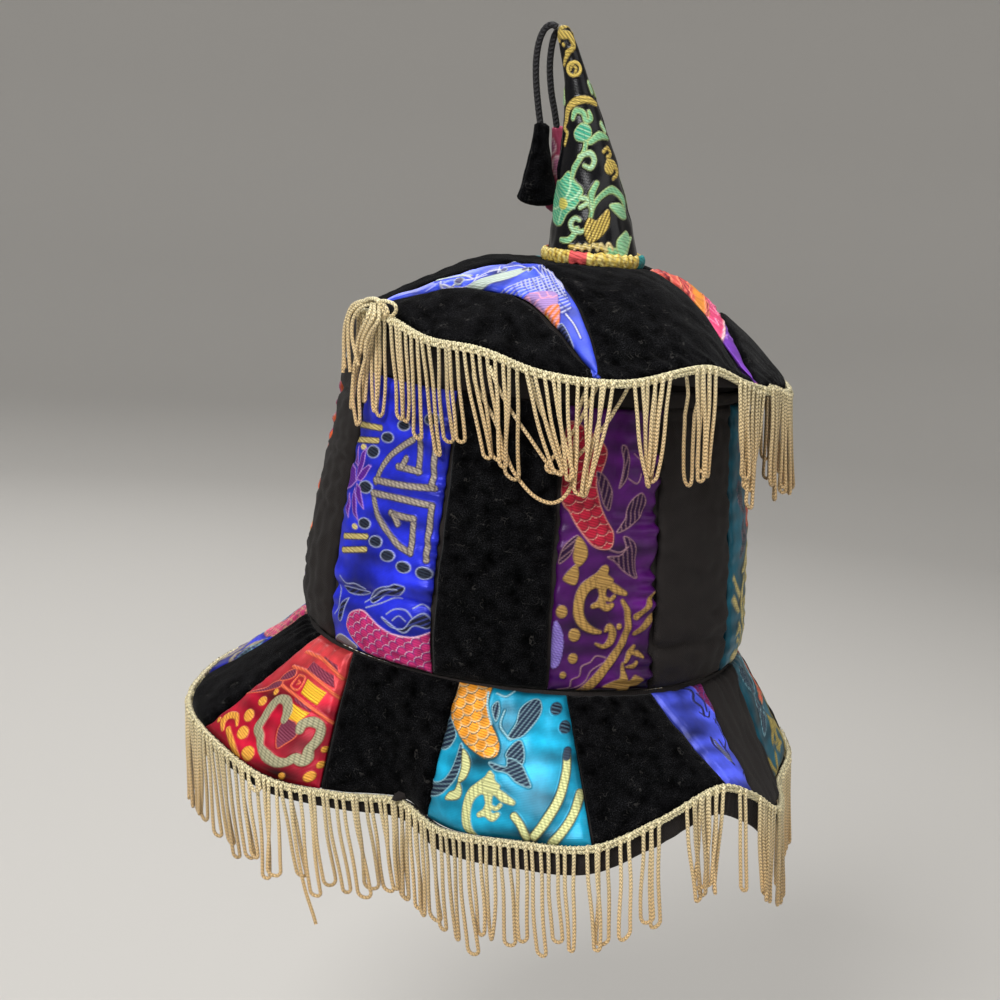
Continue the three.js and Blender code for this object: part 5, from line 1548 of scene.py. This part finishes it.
class HAT_OT_fringes(HatOperator, bpy.types.Operator):
    """Make the two fringes: a twisted heading with chain-stitched loops"""

    bl_idname = "hat.fringes"
    bl_label = "Fringes"

    def execute(self, context):
        s = self.sizes

        def rim(angle):
            overlap = np.interp(angle, (49, 52.5, 57, 63, 77, 95), (0, -2.6, 1.8, 1.6, -1.5, 0))
            return dome_point(angle, DOME_RADIUS) + np.stack([0 * overlap, 0 * overlap, overlap], -1)

        def rim_out(angle):
            return polar(angle, 1.0, 0.0)

        def upper_lean(angle):
            return np.interp(
                angle, (-180, -100, -62, -52, -42, -10, 5, 20, 60, 180), (0, 0, -1, 0, 3, 4, 1, -2, -1, 0),
            )

        def lower_lean(angle):
            return np.interp(angle, (-180, -120, -80, -40, 0, 30, 60, 180), (0, 2, 5, 4.5, 1, 0.5, 0, 0))

        self.fringe(
            "fringe_upper", "upper_fringe", rim, rim_out, clear_of_wall, s.upper_loops, s.upper_length / MM, 501,
            upper_lean, (-128, -61), self.loose(),
        )
        self.fringe(
            "fringe_lower", "lower_fringe", edge_point, edge_out, lambda p, off: p, s.lower_loops,
            s.lower_length / MM, 502, lower_lean, (181, 181), self.ravelled(),
        )
        return {"FINISHED"}

    def loose(self):
        """Strands in front of the wall, and the fringe's end, folded up over the rim."""
        made = []
        # Angle, height and how far out from the wall
        for route in (
            "-17,130,4 -16,121,4 -11,109,4 -6.5,93.5,4 -4.5,88.5,4.2 -1,82.5,4 2,79.6,4 5,79,4 7.5,82,4 9,88.5,4.4 "
            "8.8,99,5 8.5,113,5 10,128,4",
            "-13,131,5 -9,118,5.4 -2,104,6 3,94,5.6 5.4,91.6,5.4 6.4,94,5.4 3,106,5.4 -1,118,5 -4,131,4",
            "12,127,5 9,112,5.6 4,98,6 2.4,93.6,5.8 3.6,91.4,5.6 6.6,93,5.6 12,104,5.6 17,116,5 20,129,4",
            "34,136,6 35.4,120,8 36,104,8.4 37,92,8 38.4,88.4,8 39.4,91,8 39,104,8 38.4,120,8 38,136,6",
        ):
            angle, height, out = rounded(route).T
            off = out + np.clip((height - 118) * 0.35, 0, 3)
            made.append(wall_point(angle, wall_radius(np.clip(height, 0, 145)) + WALL_PUFF + off, height))
        # Angle, how far out from the rim and how far up
        for route in (
            "-54,3,4 -57.8,5,1.2 -61.8,6,-4.8 -62.8,6,-10.5 -63,5.6,-19.5 -62.8,5.4,-27.8",
            "-53,3,3.5 -56.2,5.5,0.5 -58.2,6.5,-4.8 -58,6.5,-11.5 -56.2,6,-18.2 -54.5,5.6,-23.2",
            "-54.2,4,4.2 -57,6.5,1.2 -59.2,7.5,-3.8 -59.5,7,-11.8 -58.8,6.6,-18.8 -57.5,6.4,-26.5",
            "-53.4,4.6,4.6 -58,7,1.8 -60.6,7.6,-5 -61.4,7.4,-12 -61,7,-20 -60.2,6.6,-25.6",
            "-50.5,5,3.5 -48.2,8,-1 -50,8,-6.2 -52,7.5,-11.5 -52.8,7,-17",
            "-51.6,5,3.4 -49.6,8.4,-0.6 -51.2,8.6,-6 -53.2,8,-11 -54.2,7.6,-16.6",
            "-49.6,4,3.2 -47,7,-1.4 -48.8,7.4,-6.6 -50.8,7,-12 -51.4,6.6,-17.6",
            "-51.8,3,3.8 -47.5,4,6 -44.8,3,6.2 -44.5,2,4 -46,1.5,0.8 -48.2,1,-0.8",
            "-56.2,4,3.5 -53.5,5,5 -50.5,4.6,5.5 -49,3.6,2.8 -48,2.4,-0.8 -51.8,1.6,-2.8",
            "-55,3,3 -52,4,5.6 -48.6,3.6,4.6 -47,2.6,1.6 -49,2,-1.6",
            "-52,3.4,-2 -55.4,4.6,-12 -57.6,4.6,-24 -57.4,4.4,-36 -55,4,-47 -54,4,-47.6 -53.4,4,-45 -54.6,4.4,-30 "
            "-52,3.6,-12 -50,3,-2",
        ):
            angle, out, rise = rounded(route).T
            made.append(dome_point(angle, DOME_RADIUS) + polar(angle, out, rise))
        return made

    def ravelled(self):
        """A long ravelled strand and a small loop at the heading, hung from the brim's edge."""
        made = []
        for route in (
            "-46,2,0 -45.4,3.2,-5 -44.6,3.4,-16 -43.4,3.2,-30 -41.8,3,-44 -40,2.8,-55 -39.4,2.6,-59",
            "-53.6,2.6,-1 -53,3.4,-4.6 -51.6,3.6,-7 -50.8,3.4,-5 -51.6,2.6,-1",
        ):
            angle, out, rise = rounded(route).T
            made.append(edge_point(angle) + edge_out(angle) * out[:, None] + np.stack([0 * rise, 0 * rise, rise], -1))
        return made

    def fringe(self, name, node, edge, out_at, clear, count, length, seed, lean, gap, extra):
        strand = self.sizes.strand / MM
        paths = fringe_loops(count, length, edge, out_at, clear, seed, strand, lean, gap)
        facing = unit(paths.mean(1, keepdims=True) * (1, 1, 0))
        dice = np.random.default_rng(seed + 50)
        levels = 1 + dice.normal(0, 0.09, len(paths))
        sets = [(*tubes(paths, strand / 2, np.broadcast_to(facing, paths.shape)), self.tones_with_painted_shade(paths, levels))]
        for path in extra:
            tube = tubes(path[None], strand / 2, unit(path * (1, 1, 0))[None])
            sets.append((*tube, self.tones_with_painted_shade(path[None], np.ones(1) * 1.08)))
        sets.append(self.heading(edge, out_at, gap))
        offset = np.cumsum([0] + [len(part[0]) for part in sets])
        joined = [
            np.concatenate(parts) for parts in zip(*((p, f + o, c, t) for (p, f, c, t), o in zip(sets, offset)))
        ]
        make(name, joined[0], joined[1], "fringe cord", (node,), corners=joined[2], tint=joined[3])

    def tones_with_painted_shade(self, paths, level, sides=7):
        """Strands of uneven tone, with painted light near the heading and painted tan shade towards the bends."""
        low = np.clip((paths[..., 2].max(1, keepdims=True) - paths[..., 2]) / 40, 0, 1)[..., None]
        # Painted light and shade: heading colour near the top of each strand, darker tan lower down.
        colour = mix(
            np.array(self.colours.heading) * 0.9, np.array(self.colours.strand), low**0.5,
        ) * level[:, None, None]
        return np.repeat(colour.reshape(-1, 3), sides, 0)

    def heading(self, edge, out_at, gap):
        """Two loosely twisted ropes that the loops are whipped over."""
        angles = np.linspace(gap[1] - 360, gap[0], 841) if gap[0] < 180 else np.linspace(-180, 180, 841)
        here, out = edge(angles), out_at(angles)
        run = np.concatenate([[0], np.cumsum(np.linalg.norm(np.diff(here, axis=0), axis=1))])
        turns = 2 * np.pi * np.round(run[-1] / HEADING_PITCH) * run / run[-1]
        paths = []
        for off, drop, phase in ((1.1, 0.6, 0), (1.0, 2.2, 1.3)):
            for strand in (0, np.pi):
                reach = 0.5 + 0.06 * np.sin(run / 5.3 + strand)
                p = here + out * (off + reach * np.cos(turns + phase + strand))[:, None]
                p[:, 2] -= drop + reach * np.sin(turns + phase + strand)
                paths.append(p)
        paths = np.array(paths)
        tube = tubes(paths, 0.7, np.broadcast_to(out, paths.shape), 5)
        return (*tube, np.tile(np.array(self.colours.heading) * 0.92, (len(tube[0]), 1)))


class HAT_OT_spire(HatOperator, bpy.types.Operator):
    """Make the stuffed spire with its woven vine, and the piping round its foot"""

    bl_idname = "hat.spire"
    bl_label = "Spire"

    def execute(self, context):
        pitch = self.sizes.fine / MM * 1.1
        columns, rows = int(2 * math.pi * 20 / pitch / 1.15), int(97 / pitch)
        turn, share = np.meshgrid(even_turns(columns), np.linspace(0, 1, rows))
        height = mix(SPIRE_LOW, SPIRE_HIGH, share)
        p = spire_point(turn, height)
        centre = np.stack(np.broadcast_arrays(spire_x(height), SPIRE_Y + 0 * turn, height), -1)
        out = unit(p - centre)
        radius = spire_radius(height)
        front = np.abs(signed(turn)) <= np.pi / 2
        x = np.where(front, signed(turn), np.mod(turn, 2 * np.pi) - np.pi) * radius
        w = Weaving(x, height - 168, tuple(self.colours.satin))
        vine_pattern(w)
        gather = 0.5 * puckers(turn * 20, height - 171, 7, 9, 602) * (radius > 8)
        crease = 0.35 * swell(x, height, 16, 601) * np.clip(radius / 14, 0.2, 1) + gather
        p += out * (w.rise * 0.9 + crease - 0.6 * np.exp(-(((height - SPIRE_LOW) / 3) ** 2)))[..., None]
        foot = np.stack([SPIRE_FOOT_X + SPIRE_FOOT * np.sin(turn[0]), SPIRE_Y - SPIRE_FOOT * np.cos(turn[0])], -1)
        base = np.concatenate([foot, (dome_at(foot[:, 0], foot[:, 1]) + 0.8)[:, None]], 1)
        blend = np.clip(1 - share * 14, 0, 1)[..., None]
        p = p * (1 - blend) + (base[None] + (p - p[:1])) * blend
        tip = np.array([[-10.4, SPIRE_Y, 269.9]])
        flat = np.concatenate([p.reshape(-1, 3), tip])
        lay = np.concatenate([np.stack([turn * 20, height], -1).reshape(-1, 2), [[0, 270]]])
        tint = np.concatenate([w.tint.reshape(-1, 3), w.tint.reshape(-1, 3)[:1]])
        thread = np.concatenate([w.thread.ravel(), [0]])
        first = (rows - 1) * columns
        cap = [[first + k, first + (k + 1) % columns, len(flat) - 1] for k in range(columns)]
        faces = grid_faces(rows, columns, True).tolist() + cap
        piece = make(
            "spire_cone", flat, faces, "spire satin", ("spire",), lay=lay, tint=tint,
            thread=thread,
        )
        self.piping()
        return {"FINISHED"}

    def piping(self):
        count, sides = 420, 16
        turn = even_turns(count)
        x, y = SPIRE_FOOT_X + PIPING_RADIUS * np.sin(turn), SPIRE_Y - PIPING_RADIUS * np.cos(turn)
        centre = np.stack([x, y, dome_at(x, y) + 2.6], -1)
        out = np.stack([np.sin(turn), -np.cos(turn), 0 * turn], -1)
        roll = even_turns(sides)
        across, around = np.meshgrid(roll * 1.7, turn * PIPING_ROUND)
        swellings = 1 + 0.1 * swell(around, across, 5, 611) + 0.12 * puckers(around, 0 * across, 4.4, 9, 612)
        level = out[:, None] * (1.6 * np.cos(roll) * swellings)[..., None]
        p = centre[:, None] + level + np.array([0, 0, 1.0]) * (3 * np.sin(roll) * swellings)[..., None]
        w = Weaving(signed(turn)[:, None] * PIPING_ROUND + 0 * across, across, tuple(self.colours.piping))
        w.lay(w.x * 0 + 5, tuple(self.colours.piping), 0)
        w.lay(swell(w.x * 1.3, w.y, 4, 613), srgb(240, 222, 140), 0)
        w.lay(0.25 * swell(w.x, w.y, 3, 614) - 0.16, srgb(140, 100, 40), 0)
        for low, high, colour in (
            (-11, -3, srgb(226, 92, 92)), (24, 40, srgb(44, 140, 140)), (-52, -40, srgb(226, 92, 92)),
            (58, 66, srgb(90, 70, 150)),
        ):
            w.lay(np.minimum(w.x - low, high - w.x), colour, 0)
        here, after, last = np.arange(sides), (np.arange(sides) + 1) % sides, (count - 1) * sides
        joint = np.stack([last + here, last + after, after, here], -1)
        faces = np.concatenate([grid_faces(count, sides, True), joint])
        make(
            "piping_ring", p, faces[:, ::-1], "brocade", ("spire_piping",),
            lay=np.stack([around, across], -1), tint=w.tint, thread=w.thread,
        )


class HAT_OT_stage(HatOperator, bpy.types.Operator):
    """Make the camera, the lights, the floor and the backdrop"""

    bl_idname = "hat.stage"
    bl_label = "Stage"

    def execute(self, context):
        scene = context.scene
        tilt, roll = math.radians(CAMERA_TILT), math.radians(CAMERA_ROLL)
        back, right = Vector((0, -math.cos(tilt), math.sin(tilt))), Vector((1, 0, 0))
        up = back.cross(right)
        right, up = right * math.cos(roll) + up * math.sin(roll), up * math.cos(roll) - right * math.sin(roll)
        camera = bpy.data.objects.new("camera", bpy.data.cameras.new("camera"))
        place = Matrix.Translation(Vector((0, 0, 0.06)) + back * self.sizes.distance)
        camera.matrix_world = place @ Matrix((right, up, back)).transposed().to_4x4()
        camera.data.lens, camera.data.sensor_width, camera.data.shift_x = CAMERA_LENS, 36, CAMERA_SHIFT
        camera.data.sensor_fit = "HORIZONTAL"
        scene.collection.objects.link(camera)
        scene.camera = camera
        scene.view_settings.view_transform = "Standard"
        for name, place, energy, size in (
            ("key", (-0.7, -1.3, 1.3), 34, 0.8), ("fill", (1.3, -0.8, 0.7), 6, 1.2),
            ("top", (0.1, 0.3, 1.6), 14, 0.8), ("rim", (-0.6, 1.4, 0.9), 8, 0.9),
            ("under", (0.2, -1.0, -0.25), 1.5, 0.8),
        ):
            light = bpy.data.objects.new(name, bpy.data.lights.new(name, "AREA"))
            light.data.energy, light.data.size = energy, size
            light.location = place
            light.rotation_euler = (Vector((0, 0, 0.08)) - Vector(place)).to_track_quat("-Z", "Y").to_euler()
            scene.collection.objects.link(light)
        world = bpy.data.worlds.new("studio")
        world.use_nodes = True
        world.node_tree.nodes["Background"].inputs[0].default_value = (0.82, 0.84, 0.88, 1)
        world.node_tree.nodes["Background"].inputs[1].default_value = 0.3
        scene.world = world
        material = bpy.data.materials.new("floor")
        material.use_nodes = True
        shader = material.node_tree.nodes["Principled BSDF"]
        shader.inputs["Base Color"].default_value = (*self.colours.floor, 1)
        shader.inputs["Roughness"].default_value = 0.8
        sides = 96
        rings = [
            [(reach * math.sin(a), reach * math.cos(a), height - 0.3) for a in even_turns(sides)]
            for reach, height in ((0.01, 0), (1.8, 0), (2.2, 0.05), (2.6, 0.22), (2.9, 0.55), (3.0, 1.0), (3.0, 4))
        ]
        mesh = bpy.data.meshes.new("floor_sweep")
        faces = grid_faces(len(rings), sides, True).tolist() + [list(range(sides))[::-1]]
        mesh.from_pydata(np.array(rings).reshape(-1, 3).tolist(), [], faces)
        mesh.polygons.foreach_set("use_smooth", np.ones(len(mesh.polygons), bool))
        mesh.materials.append(material)
        floor = bpy.data.objects.new("floor_sweep", mesh)
        scene.collection.objects.link(floor)
        return {"FINISHED"}


class HAT_PT_panel(bpy.types.Panel):
    """Lists the steps that make the hat"""

    bl_idname = "HAT_PT_panel"
    bl_label = "Jester hat"
    bl_space_type = "VIEW_3D"
    bl_region_type = "UI"
    bl_category = "Hat"

    def draw(self, context):
        for step in STEPS:
            self.layout.operator(step.bl_idname)
        for settings in (context.scene.hat_sizes, context.scene.hat_colours):
            box = self.layout.box()
            for name in settings.__annotations__:
                box.prop(settings, name)


STEPS = (
    HAT_OT_stage, HAT_OT_finishes, HAT_OT_drops, HAT_OT_side, HAT_OT_dome, HAT_OT_brim, HAT_OT_lining, HAT_OT_fringes,
    HAT_OT_spire,
)
CLASSES = (HatColours, HatSizes, *STEPS, HAT_PT_panel)


def register():
    for made in CLASSES:
        bpy.utils.register_class(made)
    bpy.types.Scene.hat_colours = bpy.props.PointerProperty(type=HatColours)
    bpy.types.Scene.hat_sizes = bpy.props.PointerProperty(type=HatSizes)


def unregister():
    del bpy.types.Scene.hat_sizes, bpy.types.Scene.hat_colours
    for made in reversed(CLASSES):
        bpy.utils.unregister_class(made)


def main():
    """Makes the whole hat."""
    register()
    for step in STEPS:
        getattr(bpy.ops.hat, step.bl_idname.split(".")[1])()


if __name__ == "__main__":
    main()
